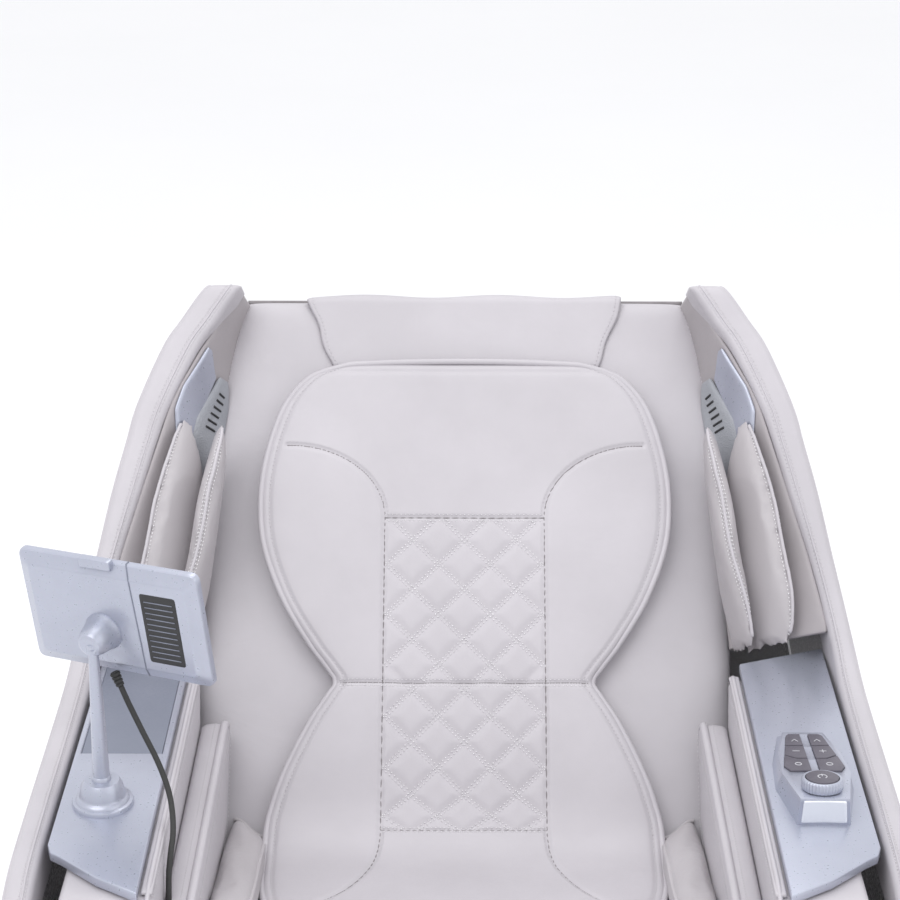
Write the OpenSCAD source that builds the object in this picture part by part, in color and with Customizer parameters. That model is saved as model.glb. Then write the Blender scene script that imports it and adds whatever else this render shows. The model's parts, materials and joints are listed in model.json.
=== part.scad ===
// Massage chair: a tilting pod (seat, back, arms and wings in one shell) on a low base,
// with a folding legrest, a roller carriage behind the back, a tablet and a control pod.
// Millimetres, +Z up, the chair faces -Y, X = 0 is the mirror plane.

/* [Posture] */
// Lean of the back from vertical
lean = 42; // [41:1:43]
// Rise of the seat towards its front edge
seat_rise = 11; // [10:0.5:12]
// Forward angle of the legrest from hanging straight down
leg_angle = 35; // [33:1:37]

/* [Seat and back] */
// Length of the back from the seat crease to its top edge
back_len = 645; // [640:1:650]
// Thickness of the back cushion
back_thick = 52; // [48:1:54]
// Length of the seat cushion from the crease to its front edge
seat_len = 462; // [455:1:466]
// Thickness of the seat cushion
seat_thick = 60; // [50:1:61]
// Width of the seat cushion
seat_w = 476; // [470:2:478]
// Thickness of the quilted overlay pad
pad_thick = 26; // [20:1:30]

/* [Armrests] */
// Height of the top of the armrest plates
arm_top = 660; // [658:1:662]
// Thickness of the armrest plates
plate_thick = 10; // [8:1:10]
// Distance from the middle to the inner edge of a plate
plate_in = 291; // [290:1:292]
// Distance from the middle to the outer edge of a plate
plate_out = 383; // [380:1:384]

/* [Base] */
// Half the width of the base frame
base_half = 250; // [248:1:252]
// Height of the tilt pivot
pivot_z = 270; // [268:1:272]
// Diameter of the tilt pivot pins
pivot_d = 20; // [18:1:22]

/* [Legrest] */
// Width of the legrest
leg_w = 450; // [440:2:456]
// Length of the calf section
calf_len = 190; // [180:1:190]
// Length of the foot section
foot_len = 180; // [170:1:180]

/* [Controls] */
// Diameter of the volume knob
knob_d = 40; // [36:1:42]
// Width of the tablet
tablet_w = 193; // [185:1:196]
// Height of the tablet
tablet_h = 120; // [112:1:124]
// Thickness of the tablet
tablet_t = 13; // [11:1:14]
// Diameter of the tablet's cable
cable_d = 5.6; // [5:0.1:6]

/* [Hidden] */
$fn = 48;
gap = 0.4;
run = 0.05;
// The crease where the seat meets the back
crease_y = 130;
crease_z = 470;
// Tilt pivot of the pod on the base
pivot_y = -120;
// Half length of the pod's cross tube between the pivots
tube_half = 230;
// Legrest hinge, forward along the seat and below its surface
hinge_s = 440;
hinge_n = -95;
hinge_d = 16;
leg_wall = 75;
hinge_y = crease_y - hinge_s * cos(seat_rise) + hinge_n * sin(seat_rise);
hinge_z = crease_z + hinge_s * sin(seat_rise) + hinge_n * cos(seat_rise);
// Levers that the two linear actuators push, each square to its rod in mid-travel
tilt_lever = 170;
tilt_mid = 6.5;
leg_lever = 75;
leg_mid = 27.5;
lever_pin_d = 14;
yoke_play = 1;
// Yoke at the end of each actuator rod: distance from pin to cross block, and its depth
yoke_reach = 22;
yoke_block = 14;
// Roller carriage behind the back cushion
track_h = -92;
track_half = 150;
channel = 28;
carriage_t = 330;
roller_d = 56;
// Edge of each side: [y, z, outer x, inner x, angle of the inward direction]
edge = [
    [524, 972, 280, 256, 30], [502, 988, 288, 250, 32], [475, 958, 315, 274, 40],
    [455, 935, 333, 293, 42], [409, 885, 358, 322, 42], [380, 852, 368, 335, 42],
    [342, 811, 380, 349, 43], [297, 760, 392, 367, 46], [261, 720, 402, 379, 54],
    [225, 690, 409, 386, 68], [170, 668, 413, 388, 84], [70, 662, 414, 388, 90],
    [-70, 660, 414, 388, 90], [-170, 654, 414, 388, 84], [-230, 628, 414, 388, 58],
    [-268, 575, 413, 388, 20], [-282, 480, 411, 386, 2], [-276, 380, 406, 382, -4],
    [-256, 290, 399, 376, -12], [-240, 245, 394, 374, -16]
];
band_depth = 54;
// Where the outer shell of each side ends, as distance along the back and depth behind it
rim_t = [622, 612, 590, 560, 490, 450, 400, 330, 270, 210, 140, 60, -20, -80, -130,
    -170, -200, -225, -250, -268];
rim_h = -64;
// Half width of the back shell against distance along the back
shell_half = [[-280, 372], [-100, 382], [0, 384], [100, 382], [200, 374], [300, 362],
    [400, 344], [500, 318], [560, 298], [600, 282], [640, 262]];
// Inner wall of each wing against distance along the back: at its root and at its lip
wall_root = [[250, 285], [395, 278], [494, 270], [562, 264], [600, 258]];
wall_lip = [[250, 382], [327, 365], [395, 347], [446, 333], [494, 320], [562, 291], [600, 274]];
// Shoulder flaps: [distance along the back, root x, lip x, lip height, thickness, root height]
inner_flap = [[484, 270, 266, 50, 6, 7], [470, 272, 265, 66, 12, 7], [430, 276, 268, 78, 18, 7],
    [380, 280, 276, 80, 20, 7], [323, 284, 287, 76, 20, 7], [270, 286, 300, 68, 18, 7],
    [226, 288, 312, 54, 10, 7]];
outer_flap = [[488, 288, 311, 52, 6, 33], [474, 288, 312, 64, 12, 33], [430, 288, 323, 74, 17, 22],
    [380, 289, 334, 76, 18, 7], [323, 294, 344, 74, 18, 7], [270, 298, 350, 66, 16, 7],
    [228, 301, 348, 52, 10, 7]];
// Tablet: middle of its back and its turns about Z, X and Y
tablet_at = [-326, -42, 845];
tablet_turn = [7.5, -2.6, -24.5];
pole_at = [-342, -57];
// Route of the tablet's cable, from its strain relief into the gap beside the armrest
cable_path = [[-322, -37, 775], [-315, -40, 758], [-302, -48, 732], [-288, -58, 706],
    [-278, -70, 684], [-273, -84, 668], [-271, -100, 654], [-272, -114, 642],
    [-273, -126, 628], [-273, -134, 612], [-273, -138, 600]];
// Control pod: middle of its rear edge, slope of its face and depth of its key wells
pod_x = 336;
pod_rear = 69;
pod_face_z = 668;
pod_slope = 7;
key_well = 3;
key_travel = 1;
knob_v = 138;
// Keys: outline of each key on one side of the spine, mirrored for the other side
key_shapes = [
    [[4, 8], [15, 8], [18, 12], [21.5, 36], [4, 36]],
    [[4, 38], [21.8, 38], [25, 60], [15, 68], [4, 68]],
    [[4, 70], [15, 70], [25.5, 62], [29, 88], [24, 99], [4, 99]]
];

// ---------------------------------------------------------------- frames and helpers

// A point on the back: x across, t up the back, h proud of its surface
function back_pt(x, t, h) = [x, crease_y + t * sin(lean) - h * cos(lean),
    crease_z + t * cos(lean) + h * sin(lean)];

// A point on the seat: x across, s forward from the crease, n above its surface
function seat_pt(x, s, n) = [x, crease_y - s * cos(seat_rise) + n * sin(seat_rise),
    crease_z + s * sin(seat_rise) + n * cos(seat_rise)];

// Puts a shape on the back: its Z runs up the back and its -Y is proud of it
module on_back() translate([0, crease_y, crease_z]) rotate([-lean, 0, 0]) children();

// Puts a shape on the seat: its -Y runs forward and its Z is proud of it
module on_seat() translate([0, crease_y, crease_z]) rotate([-seat_rise, 0, 0]) children();

// Puts a shape on the legrest: its Z runs up the leg from the hinge and its -Y faces front
module on_leg() translate([0, hinge_y, hinge_z]) rotate([-leg_angle, 0, 0]) children();

// Puts a shape on the control pod's face: its -Y runs forward down the face
module on_pod() translate([pod_x, pod_rear, pod_face_z]) rotate([-pod_slope, 0, 0]) children();

// Puts a shape on the tablet: its X runs along it and its -Y leaves its back
module on_tablet() translate(tablet_at) rotate([0, 0, tablet_turn[2]])
    rotate([tablet_turn[0], 0, 0]) rotate([0, tablet_turn[1], 0]) children();

// Extrudes an outline drawn in Y and Z, from x by w
module in_yz(x, w) translate([x, 0, 0]) rotate([90, 0, 90]) linear_extrude(w) children();

// A cylinder along X, centred on x
module rod_x(d, w, x = 0) translate([x - w / 2, 0, 0]) rotate([0, 90, 0]) cylinder(d = d, h = w);

// A box given by its corners
module block(a, b) translate(a) cube(b - a);

// Both sides
module pair() {
    children();
    mirror([1, 0, 0]) children();
}

// A closed skin over rings that have the same number of points
module skin(rings) {
    n = len(rings[0]);
    m = len(rings);
    walls = [for (i = [0:m - 2], j = [0:n - 1]) let (k = (j + 1) % n)
        each [[i * n + j, (i + 1) * n + j, i * n + k], [i * n + k, (i + 1) * n + j, (i + 1) * n + k]]];
    first = [for (j = [0:n / 2 - 2]) each [[j, j + 1, n - 1 - j], [j + 1, n - 2 - j, n - 1 - j]]];
    last = [for (f = first) [for (k = [2, 1, 0]) (m - 1) * n + f[k]]];
    polyhedron([for (r = rings) each r], concat(walls, first, last));
}

// A rectangle with rounded corners, three points to a corner
function soft_rect(x0, x1, y0, y1, r) = [
    for (c = [[x1 - r, y1 - r, 0], [x0 + r, y1 - r, 90], [x0 + r, y0 + r, 180], [x1 - r, y0 + r, 270]])
        for (a = [0, 45, 90]) [c[0] + r * cos(c[2] + a), c[1] + r * sin(c[2] + a)]];

// An outline with its corners rounded by n steps, for flat panels
function round_rect(w, l, r, n = 5) = [
    for (c = [[w / 2 - r, l / 2 - r, 0], [r - w / 2, l / 2 - r, 90],
        [r - w / 2, r - l / 2, 180], [w / 2 - r, r - l / 2, 270]]) for (i = [0:n])
            [c[0] + r * cos(c[2] + 90 * i / n), c[1] + r * sin(c[2] + 90 * i / n)]];

// ---------------------------------------------------------------- base

module base_frame() color("dimgray") difference() {
    union() {
        pair() {
            block([base_half - 30, -225, 40], [base_half - 2, 322, 70]);
            block([150, 240, 69], [190, 321, 73]);
            for (x = [152, 184]) block([x, 252, 20], [x + 4, 276, 70]);
            translate([0, 264, 30]) rod_x(8, 28, 170);
            in_yz(base_half - 8, 8) polygon([[-200, 70], [-40, 70], [pivot_y + 22, pivot_z],
                [pivot_y, pivot_z + 24], [pivot_y - 22, pivot_z]]);
        }
        block([2 - base_half, -225, 40], [base_half - 2, -195, 70]);
        block([2 - base_half, 295, 40], [base_half - 2, 322, 70]);
        block([-30, -195, 40], [30, 295, 56]);
        block([30, 90, 52], [base_half - 20, 235, 56.2]);
    }
    translate([0, pivot_y, pivot_z]) rod_x(pivot_d, 2 * base_half + 20);
}

module base_skirt() color("gainsboro") difference() {
    translate([0, 45, 0]) {
        difference() {
            translate([0, 0, 20]) linear_extrude(125) polygon(round_rect(560, 590, 70));
            translate([0, 0, 10]) linear_extrude(131) polygon(round_rect(552, 582, 66));
            pair() block([base_half - 11, -230, 136], [base_half + 3, -100, 150]);
            block([-24, -240, 136], [24, -92, 150]);
        }
    }
    block([96, 320, 82], [144, 350, 112]);
    block([156, 320, 82], [184, 350, 112]);
}

module levelling_feet() color("black") pair() for (y = [-205, 305]) {
    translate([base_half - 16, y, 0]) {
        cylinder(d1 = 44, d2 = 38, h = 14);
        translate([0, 0, 14]) cylinder(d = 12, h = 26);
    }
}

module rear_wheels() color("black") pair() translate([170, 264, 30]) rotate([0, 90, 0])
    difference() {
        cylinder(d = 44, h = 22, center = true);
        cylinder(d = 8 + 2 * run, h = 24, center = true);
    }

module control_box() color("silver") union() {
    block([62, 90, 56.5], [205, 235, 118]);
    for (y = [110:12:215]) block([70, y, 118], [197, y + 4, 124]);
}

module mains_inlet() color("black") difference() {
    union() {
        block([98, 310, 84], [142, 336, 110]);
        block([92, 340.2, 78], [148, 343.2, 116]);
        block([98, 336, 84], [142, 341, 110]);
    }
    block([104, 318, 89], [136, 350, 105]);
}

module mains_switch() color("darkred") union() {
    in_yz(160, 20) polygon([[322, 88], [338, 88], [345, 91], [341.5, 97], [342.5, 106], [322, 106]]);
    translate([0, 328, 97]) rod_x(4, 27, 170);
}

module recline_actuator() color("dimgray") difference() {
    union() {
        block([-24, 70, 78], [24, 250, 124]);
        block([24, 70, 84], [58, 140, 118]);
        block([-20, 60, 86], [20, 70, 116]);
        for (y = [90, 200]) block([-28, y, 56], [28, y + 24, 78]);
    }
    translate([0, 242, 101]) rotate([90, 0, 0]) cylinder(d = 22 + 2 * run, h = 192);
}

module recline_rod() color("silver") {
    y = pivot_y + tilt_lever * sin(tilt_mid);
    z = pivot_z - tilt_lever * cos(tilt_mid);
    slot_w = lever_pin_d / 2 + yoke_play;
    translate([0, 200, 101]) rotate([90, 0, 0]) cylinder(d = 22, h = 198 - y - yoke_reach);
    block([-16, y + yoke_reach, 84], [16, y + yoke_reach + yoke_block, 118]);
    for (x = [-16, 10]) difference() {
        block([x, y - 20, 76], [x + 6, y + yoke_reach, 134]);
        block([x - 1, y - slot_w, 84], [x + 7, y + slot_w, z + 22]);
    }
}

module pivot_pins() color("silver") pair() translate([0, pivot_y, pivot_z]) {
    rod_x(pivot_d, base_half - tube_half + 5.5, (base_half + tube_half + 6.5) / 2);
    rod_x(pivot_d + 12, 5, base_half + 2.5 + gap);
}

// ---------------------------------------------------------------- pod structure

// One strip of the roller track: down the back, round the crease and under the seat
function track_run(d, over) = concat([pair_yz(back_pt(0, 600 + over, -d))],
    [for (i = [0:8]) let (a = -lean - i * (90 + seat_rise - lean) / 8)
        [crease_y + d * cos(a), crease_z + d * sin(a)]],
    [pair_yz(seat_pt(0, 330 + over, -d))]);
function pair_yz(p) = [p[1], p[2]];

module track_strip(near, far, over = 0) {
    back_side = track_run(far, over);
    polygon(concat(track_run(near, over), [for (i = [len(back_side) - 1:-1:0]) back_side[i]]));
}

module roller_tracks() color("dimgray") pair() difference() {
    lip = channel / 2;
    in_yz(track_half - 18, 22) track_strip(-track_h - lip - 3, -track_h + lip + 3);
    in_yz(track_half - 20, 20) track_strip(-track_h - lip, -track_h + lip, 6);
}

module pod_frame() color("dimgray") {
    pair() {
        bracket();
        difference() {
            union() {
                at_hinge() rod_x(34, 8, 172);
                in_yz(168, 8) polygon([for (q = [[300, -75], [300, -109], [hinge_s, hinge_n - 17],
                    [hinge_s + 14, hinge_n + 8], [hinge_s, -75]])
                    [seat_pt(0, q[0], q[1])[1], seat_pt(0, q[0], q[1])[2]]]);
            }
            at_hinge() rod_x(hinge_d, 20, 172);
        }
        on_seat() block([track_half + 4, -328, -103], [169, -300, -78]);
    }
    at_hinge() rod_x(hinge_d, 352);
    translate([0, pivot_y, pivot_z]) rod_x(38, 2 * tube_half);
    lever();
    on_back() translate([0, -track_h, 578]) rod_x(20, 2 * track_half);
    on_seat() translate([0, -310, track_h]) rod_x(20, 2 * track_half);
}

module at_hinge() translate([0, hinge_y, hinge_z]) children();

// Side bracket from the track down to the tilt pivot
module bracket() difference() {
    union() {
        in_yz(230, 8) polygon([for (q = [[50, -80], [320, -80], [320, -130]])
            [seat_pt(0, q[0], q[1])[1], seat_pt(0, q[0], q[1])[2]],
            [pivot_y - 20, pivot_z - 8], [pivot_y, pivot_z - 24], [pivot_y + 20, pivot_z - 8]]);
        on_seat() for (s = [70, 280]) translate([0, -s, track_h]) rod_x(18, 78, 193);
    }
    translate([0, pivot_y, pivot_z]) rod_x(pivot_d + 2 * run, 20, 236);
}

// Lever that the recline rod pushes
module lever() translate([0, pivot_y, pivot_z]) rotate([tilt_mid, 0, 0]) {
    block([-6, -11, -tilt_lever - 12], [6, 11, -16]);
    translate([0, 0, -tilt_lever]) rod_x(lever_pin_d, 34);
}

module seat_pan() color("burlywood") on_seat() difference() {
    block([-226, -430, -seat_thick - 12], [226, -30, -seat_thick - 2]);
    for (x = [-90, 90], s = [120, 220]) translate([x, -s, -seat_thick - 13]) cylinder(d = 50, h = 12);
}

// Back shell: a trough with a rounded back, as rings of an outer and an inner run
function shell_arc(w, depth, inset) = [for (i = [0:12]) let (a = 180 * i / 12)
    [(w - inset) * sign(cos(a)) * pow(abs(cos(a)), 0.45),
        rim_h - 4 - (depth - inset) * pow(sin(a), 0.55)]];

function shell_ring(t, depth) = let (w = lookup(t, shell_half) - 2,
    outer = shell_arc(w, depth, 0), inner = shell_arc(w, depth, 5))
    [for (q = concat(outer, [for (i = [12:-1:0]) inner[i]])) back_pt(q[0], t, q[1])];

module back_shell() color("whitesmoke")
    skin([for (q = [[646, 10], [642, 26], [630, 48], [600, 66], [560, 78], [500, 88], [400, 94],
        [300, 96], [200, 95], [100, 92], [0, 84], [-60, 60]]) shell_ring(q[0], q[1])]);

// Outer shell of one side: a bulged panel from the band back to the rim of the back shell
function side_ring(i) = let (e = edge[i], a = e[4], d = band_depth + 3,
    front = [e[2] - 1, e[0] + d * cos(a), e[1] - d * sin(a)], x1 = lookup(rim_t[i], shell_half),
    rear = back_pt(x1, rim_t[i], rim_h), n = 5, bulge = min(6, 0.05 * norm(rear - front)))
    concat([for (j = [0:n]) let (f = j / n) front + f * (rear - front) + [bulge * sin(180 * f), 0, 0]],
        [for (j = [n:-1:0]) let (f = j / n) front + f * (rear - front) + [bulge * sin(180 * f) - 6, 0, 0]]);

module side_shell() skin([for (i = [1:19]) side_ring(i)]);
module side_shell_right() color("whitesmoke") side_shell();
module side_shell_left() color("whitesmoke") mirror([1, 0, 0]) side_shell();

// ---------------------------------------------------------------- upholstery

module side_band() skin([for (e = edge) let (c = soft_rect(e[3], e[2], 0, band_depth, 7))
    [for (i = [len(c) - 1:-1:0]) [c[i][0], e[0] + c[i][1] * cos(e[4]), e[1] - c[i][1] * sin(e[4])]]]);
module side_band_right() color("lightgray") side_band();
module side_band_left() color("lightgray") mirror([1, 0, 0]) side_band();

module arm_body() {
    in_yz(278, 86) polygon([[-206, 262], [-226, 330], [-240, 480], [-236, 590], [-222, 630],
        [-200, 648], [226, 648], [196, 572], [140, 505], [112, 462], [-40, 262]]);
    in_yz(278, plate_in - 279) polygon([[-200, 648], [222, 648], [222, 653], [-200, 653]]);
}
module arm_body_right() color("lightgray") arm_body();
module arm_body_left() color("lightgray") mirror([1, 0, 0]) arm_body();

// Outline of an armrest plate, front corner cut back and rear edge slanted
plate_outline = concat([[plate_in, -212], [plate_in + 40, -186]],
    [for (a = [-70:35:0]) [plate_out - 24 + 24 * cos(a), -130 + 24 * sin(a)]],
    [[plate_out, 268], [plate_in, 231]]);

module plate() translate([0, 0, arm_top - plate_thick]) linear_extrude(plate_thick)
    polygon(plate_outline);
module arm_plate_right() color("lightsteelblue") plate();
module arm_plate_left() color("lightsteelblue") mirror([1, 0, 0]) difference() {
    plate();
    translate([0, 0, arm_top - 3]) linear_extrude(5) polygon(panel_outline(0));
}

function panel_outline(inset) = [[plate_in + 6 + inset, 38 + inset], [plate_out - 6 - inset, 38 + inset],
    [plate_out - 6 - inset, 256 - inset], [plate_in + 6 + inset, 226 - inset]];
module charge_panel() color("slategray") mirror([1, 0, 0])
    translate([0, 0, arm_top - 3 + 0.05]) linear_extrude(2) polygon(panel_outline(gap));

// Inner wall of a wing at distance t along the back and height h above it
function wall_x(t, h) = let (a = lookup(t, wall_root), b = lookup(t, wall_lip)) a + (b - a) * (h + 10) / 75;

// A strip on that wall: rings of [t, lowest h, highest h], from inner to outer offset
function wall_ring(q, in, out) = [for (c = [[q[1], in], [q[2], in], [q[2], out], [q[1], out]])
    back_pt(wall_x(q[0], c[0]) + c[1], q[0], c[0])];

module wing_linings() color("darkgray") pair()
    skin([for (t = [572, 562, 528, 494, 446, 395, 327, 262]) wall_ring([t, -10, 44], 0, 6)]);

module wing_trims() color("lightsteelblue") pair()
    skin([for (q = [[563, 50, 56], [541, 22, 60], [518, 31, 62], [496, 34, 52]])
        wall_ring(q, -6, -3)]);

module speaker_pods() color("darkgray") pair()
    skin([for (q = [[535, 6, 14], [515, 0, 20], [490, 0, 29], [460, 0, 28], [432, 6, 16]])
        wall_ring(q, -8, -3)]);

// Back cushion as rings up the back: [t, half width]
module back_cushion() color("lightgray") skin([
    for (q = [[back_len, 232, 8], [back_len - 14, 244, 18], [600, 250, 22], [500, 261, 22],
        [400, 267, 22], [250, 272, 22], [60, 272, 20], [20, 268, 14]])
        [for (p = soft_rect(-q[1], q[1], -back_thick, 0, q[2])) back_pt(p[0], q[0], p[1])]]);

module seat_cushion() color("lightgray") on_seat() skin([
    for (q = [[34, 8], [20, 16], [-seat_len + 26, 18], [-seat_len + 6, 14], [-seat_len, 8]])
        let (e = q[1] < 12 ? 10 : 0)
        [for (p = soft_rect(-seat_w / 2 + e, seat_w / 2 - e, -seat_thick + e, -e / 2, q[1]))
            [p[0], q[0], p[1]]]]);

// Overlay pad: upper lobe, waist and lower lobe on the back, then on over the seat
module overlay_pad() color("gainsboro") {
    skin([for (q = [[562, 132], [548, 168], [510, 196], [460, 216], [408, 225], [350, 220],
        [290, 196], [240, 166], [210, 146], [196, 138], [182, 146], [150, 164], [100, 190],
        [60, 203], [16, 208]])
        [for (p = soft_rect(-q[1], q[1], gap, pad_thick, 8)) back_pt(p[0], q[0], p[1])]]);
    skin([for (q = [[16, 208], [90, 206], [160, 196], [260, 184], [380, 174], [430, 160]])
        [for (p = soft_rect(-q[1], q[1], gap, pad_thick, 8)) seat_pt(p[0], q[0], p[1])]]);
}

// Flap over the top edge of the back, held on the rear of the cushion
module top_flap() color("gainsboro") skin([
    for (q = [[150, 566, gap, 566, 9], [164, 600, gap, 600, 9], [180, back_len + 2, gap, back_len + 9, 9],
        [180, back_len + 2, 6 - back_thick, back_len + 9, 6 - back_thick]])
        [back_pt(q[0], q[1], q[2]), back_pt(q[0], q[3], q[4]), back_pt(-q[0], q[3], q[4]),
            back_pt(-q[0], q[1], q[2])]]);

// A shoulder flap: a leaf of lens-shaped rings from its root on the wing to its lip
function flap_ring(q) = let (root = [q[1], q[5]], lip = [q[2], q[3]], d = (lip - root) / norm(lip - root),
    s = [d[1], -d[0]], l = norm(lip - root), w = q[4] / 2)
    [for (p = [[0, 0.2], [0.25, 0.75], [0.55, 1], [0.9, 0.7], [1, 0.3], [1, -0.3], [0.9, -0.7],
        [0.55, -1], [0.25, -0.75], [0, -0.2]])
        let (c = root + d * l * p[0] + s * w * p[1]) back_pt(c[0], q[0], c[1])];

module shoulder_flaps_inner() color("silver") pair() skin([for (q = inner_flap) flap_ring(q)]);
module shoulder_flaps_outer() color("silver") pair() skin([for (q = outer_flap) flap_ring(q)]);

module arm_airbags() color("silver") pair() skin([
    for (q = [[268, 14], [264, 4], [250, 4], [246, 14]]) let (e = q[1])
        [[q[0], -240 + e, 566], [q[0], -240 + e, 606 - e], [q[0], 200 - e, 606 - e],
            [q[0], 216 - e, 594], [q[0], 150 - e, 512 + e], [q[0], 60, 500 + e]]]);

module hip_flaps() color("silver") on_seat() pair() skin([
    for (q = [[-8, 8], [-24, 0], [-230, 0], [-250, 8]])
        [for (p = soft_rect(211 + q[1], 244 - q[1] / 2, 1.5, 50 - q[1], 9)) [p[0], q[0], p[1]]]]);

// ---------------------------------------------------------------- inside the pod

module air_pump() color("gray") on_seat() {
    block([30, -260, -140], [118, -150, -seat_thick - 12.4]);
    translate([74, -146, -110]) rotate([90, 0, 0]) cylinder(d = 40, h = 6);
    for (x = [52, 96]) translate([x, -260, -110]) rotate([90, 0, 0]) cylinder(d = 10, h = 16);
}

module legrest_actuator() color("dimgray") on_seat() difference() {
    union() {
        block([-24, -330, -188], [24, -120, -142]);
        block([-58, -190, -184], [-24, -120, -146]);
    }
    translate([0, -180, -165]) rotate([90, 0, 0]) cylinder(d = 20 + 2 * run, h = 160);
}

module legrest_rod() color("silver") on_seat() {
    s = hinge_s - leg_lever * sin(leg_mid);
    n = hinge_n - leg_lever * cos(leg_mid);
    slot_w = lever_pin_d / 2 + yoke_play;
    translate([0, -190, -165]) rotate([90, 0, 0]) cylinder(d = 20, h = s - 192 - yoke_reach);
    block([-16, -s + yoke_reach, -182], [16, -s + yoke_reach + yoke_block, -148]);
    for (x = [-16, 10]) difference() {
        block([x, -s - 20, n - 26], [x + 6, -s + yoke_reach, n + 18]);
        block([x - 1, -s - slot_w, n - 20], [x + 7, -s + slot_w, n + 11]);
    }
}

module roller_carriage() color("dimgray") on_back() translate([0, 0, carriage_t]) {
    difference() {
        block([-112, 118, -70], [112, 126, 70]);
        pair() block([50, 117, 12], [90, 127, 71]);
    }
    pair() {
        block([112, 84, -72], [120, 126, 72]);
        for (t = [-54, 54]) {
            translate([0, -track_h, t]) rod_x(10, 20, 126);
            translate([0, -track_h, t]) rod_x(channel - 2 * run, 10, 141);
        }
    }
    block([-30, 126, -50], [30, 148, 50]);
    translate([0, 100, -20]) rod_x(12, 238);
}

module roller_arm() on_back() translate([0, 0, carriage_t]) difference() {
    union() {
        translate([0, 100, -20]) rod_x(26, 12, 50);
        in_yz(46, 8) polygon([[108, -20], [92, -20], [84, 56], [94, 58]]);
        translate([0, 89, 52]) {
            rod_x(18, 8, 50);
            rod_x(10, 36, 68);
        }
    }
    translate([0, 100, -20]) rod_x(12 + 2 * run, 20, 50);
}
module roller_arm_right() color("gray") roller_arm();
module roller_arm_left() color("gray") mirror([1, 0, 0]) roller_arm();

module massage_roller() on_back() translate([70, 89, carriage_t + 52]) rotate([0, 90, 0])
    rotate_extrude() polygon([[5 + run, -14], [18, -14], [24, -10], [roller_d / 2, -4],
        [roller_d / 2, 4], [24, 10], [18, 14], [5 + run, 14]]);
module massage_roller_right() color("khaki") massage_roller();
module massage_roller_left() color("khaki") mirror([1, 0, 0]) massage_roller();

// ---------------------------------------------------------------- legrest

module legrest_frame() color("dimgray") difference() {
    union() {
        on_leg() {
            block([-158, 62, -calf_len], [158, 68, -20]);
            pair() {
                in_yz(150, 8) polygon([[-16, 4], [0, 17], [16, 8], [68, -10], [68, -70], [62, -70],
                    [62, -20], [-4, -18]]);
                rod_x(44, 8, 154);
            }
        }
        at_hinge() rod_x(40, 304);
        at_hinge() rotate([leg_mid - seat_rise, 0, 0]) {
            block([-6, -9, -leg_lever - 10], [6, 9, -20]);
            translate([0, 0, -leg_lever]) rod_x(lever_pin_d, 34);
        }
    }
    at_hinge() rod_x(32, 296);
    at_hinge() rod_x(hinge_d + 2 * run, 340);
    on_leg() {
        block([-22, 61, -112], [-8, 69, -30]);
        block([8, 61, -112], [22, 69, -30]);
        block([-22, 61, -36], [22, 69, -19]);
    }
}

// Section across the legrest: a body with a deep channel for each leg
module leg_profile(front, rear, wall) difference() {
    polygon(soft_rect(-leg_w / 2, leg_w / 2, front, rear, 18));
    for (x = [-106, 106]) {
        translate([x, -25]) circle(d = leg_w / 2 - wall, $fn = 64);
        translate([x - (leg_w / 2 - wall) / 2, front - 5]) square([leg_w / 2 - wall, -20 - front]);
    }
}

module calf_section() color("lightgray") on_leg() translate([0, 0, -calf_len - 12]) difference() {
    linear_extrude(calf_len - 12) leg_profile(-78, 60, leg_wall);
    for (x = [-206, 206]) translate([x, 34, -1]) cylinder(d = 12 + 2 * run, h = 150);
    block([-22, 8, calf_len - 100], [22, 61, calf_len]);
}

module foot_section() color("lightgray") on_leg() {
    top = -calf_len - 14;
    translate([0, 0, top - foot_len + 34]) linear_extrude(foot_len - 34) leg_profile(-110, 60, leg_wall);
    difference() {
        translate([0, 0, top - foot_len]) linear_extrude(34)
            polygon(soft_rect(-leg_w / 2, leg_w / 2, -110, 60, 18));
        for (x = [-106, 106]) block([x - 62, -52, top - foot_len + 4], [x + 62, -12, top - foot_len + 35]);
        translate([0, -32, top - foot_len + 20]) rod_x(8 + 2 * run, 400);
    }
    for (x = [-206, 206]) translate([x, 34, top]) cylinder(d = 12, h = 130);
}

module foot_rollers() color("khaki") on_leg() translate([0, -32, -calf_len - 14 - foot_len + 20]) {
    rod_x(8, 396);
    for (x = [-150, -120, -92, -62, 62, 92, 120, 150]) rod_x(30, 12, x);
}

// ---------------------------------------------------------------- tablet and its stand

module stand_base() color("lightsteelblue") translate([pole_at[0], pole_at[1], arm_top]) {
    cylinder(d1 = 58, d2 = 56, h = 5);
    translate([0, 0, 5]) cylinder(d1 = 56, d2 = 46, h = 4);
    translate([0, 0, 9]) cylinder(d1 = 44, d2 = 34, h = 17);
    translate([0, 0, 26]) cylinder(d = 18, h = 4);
    translate([0, 0, 30]) cylinder(d1 = 16, d2 = 9, h = 134);
    translate([0, 0, 163]) sphere(d = 14);
}

// A slab with a bevelled back
function slab_ring(w, h, r, y) = [for (p = soft_rect(-w / 2, w / 2, -h / 2, h / 2, r)) [p[0], y, p[1]]];

module tablet_housing() color("lightsteelblue") {
    on_tablet() {
        skin([slab_ring(tablet_w, tablet_h, 8, tablet_t), slab_ring(tablet_w, tablet_h, 8, 8),
            slab_ring(tablet_w - 2, tablet_h - 2, 7, 6), slab_ring(tablet_w - 26, tablet_h - 26, 6, 0)]);
        block([-26, 0, tablet_h / 2 - 8], [8, 9, tablet_h / 2 + 4]);
    }
    difference() {
        on_tablet() translate([-11, 0.1, -13]) rotate([90, 0, 0]) cylinder(d1 = 38, d2 = 24, h = 28);
        translate([pole_at[0], pole_at[1], arm_top + 163]) sphere(d = 15);
        translate([pole_at[0], pole_at[1], arm_top + 120]) cylinder(d = 13, h = 43);
    }
}

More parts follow.
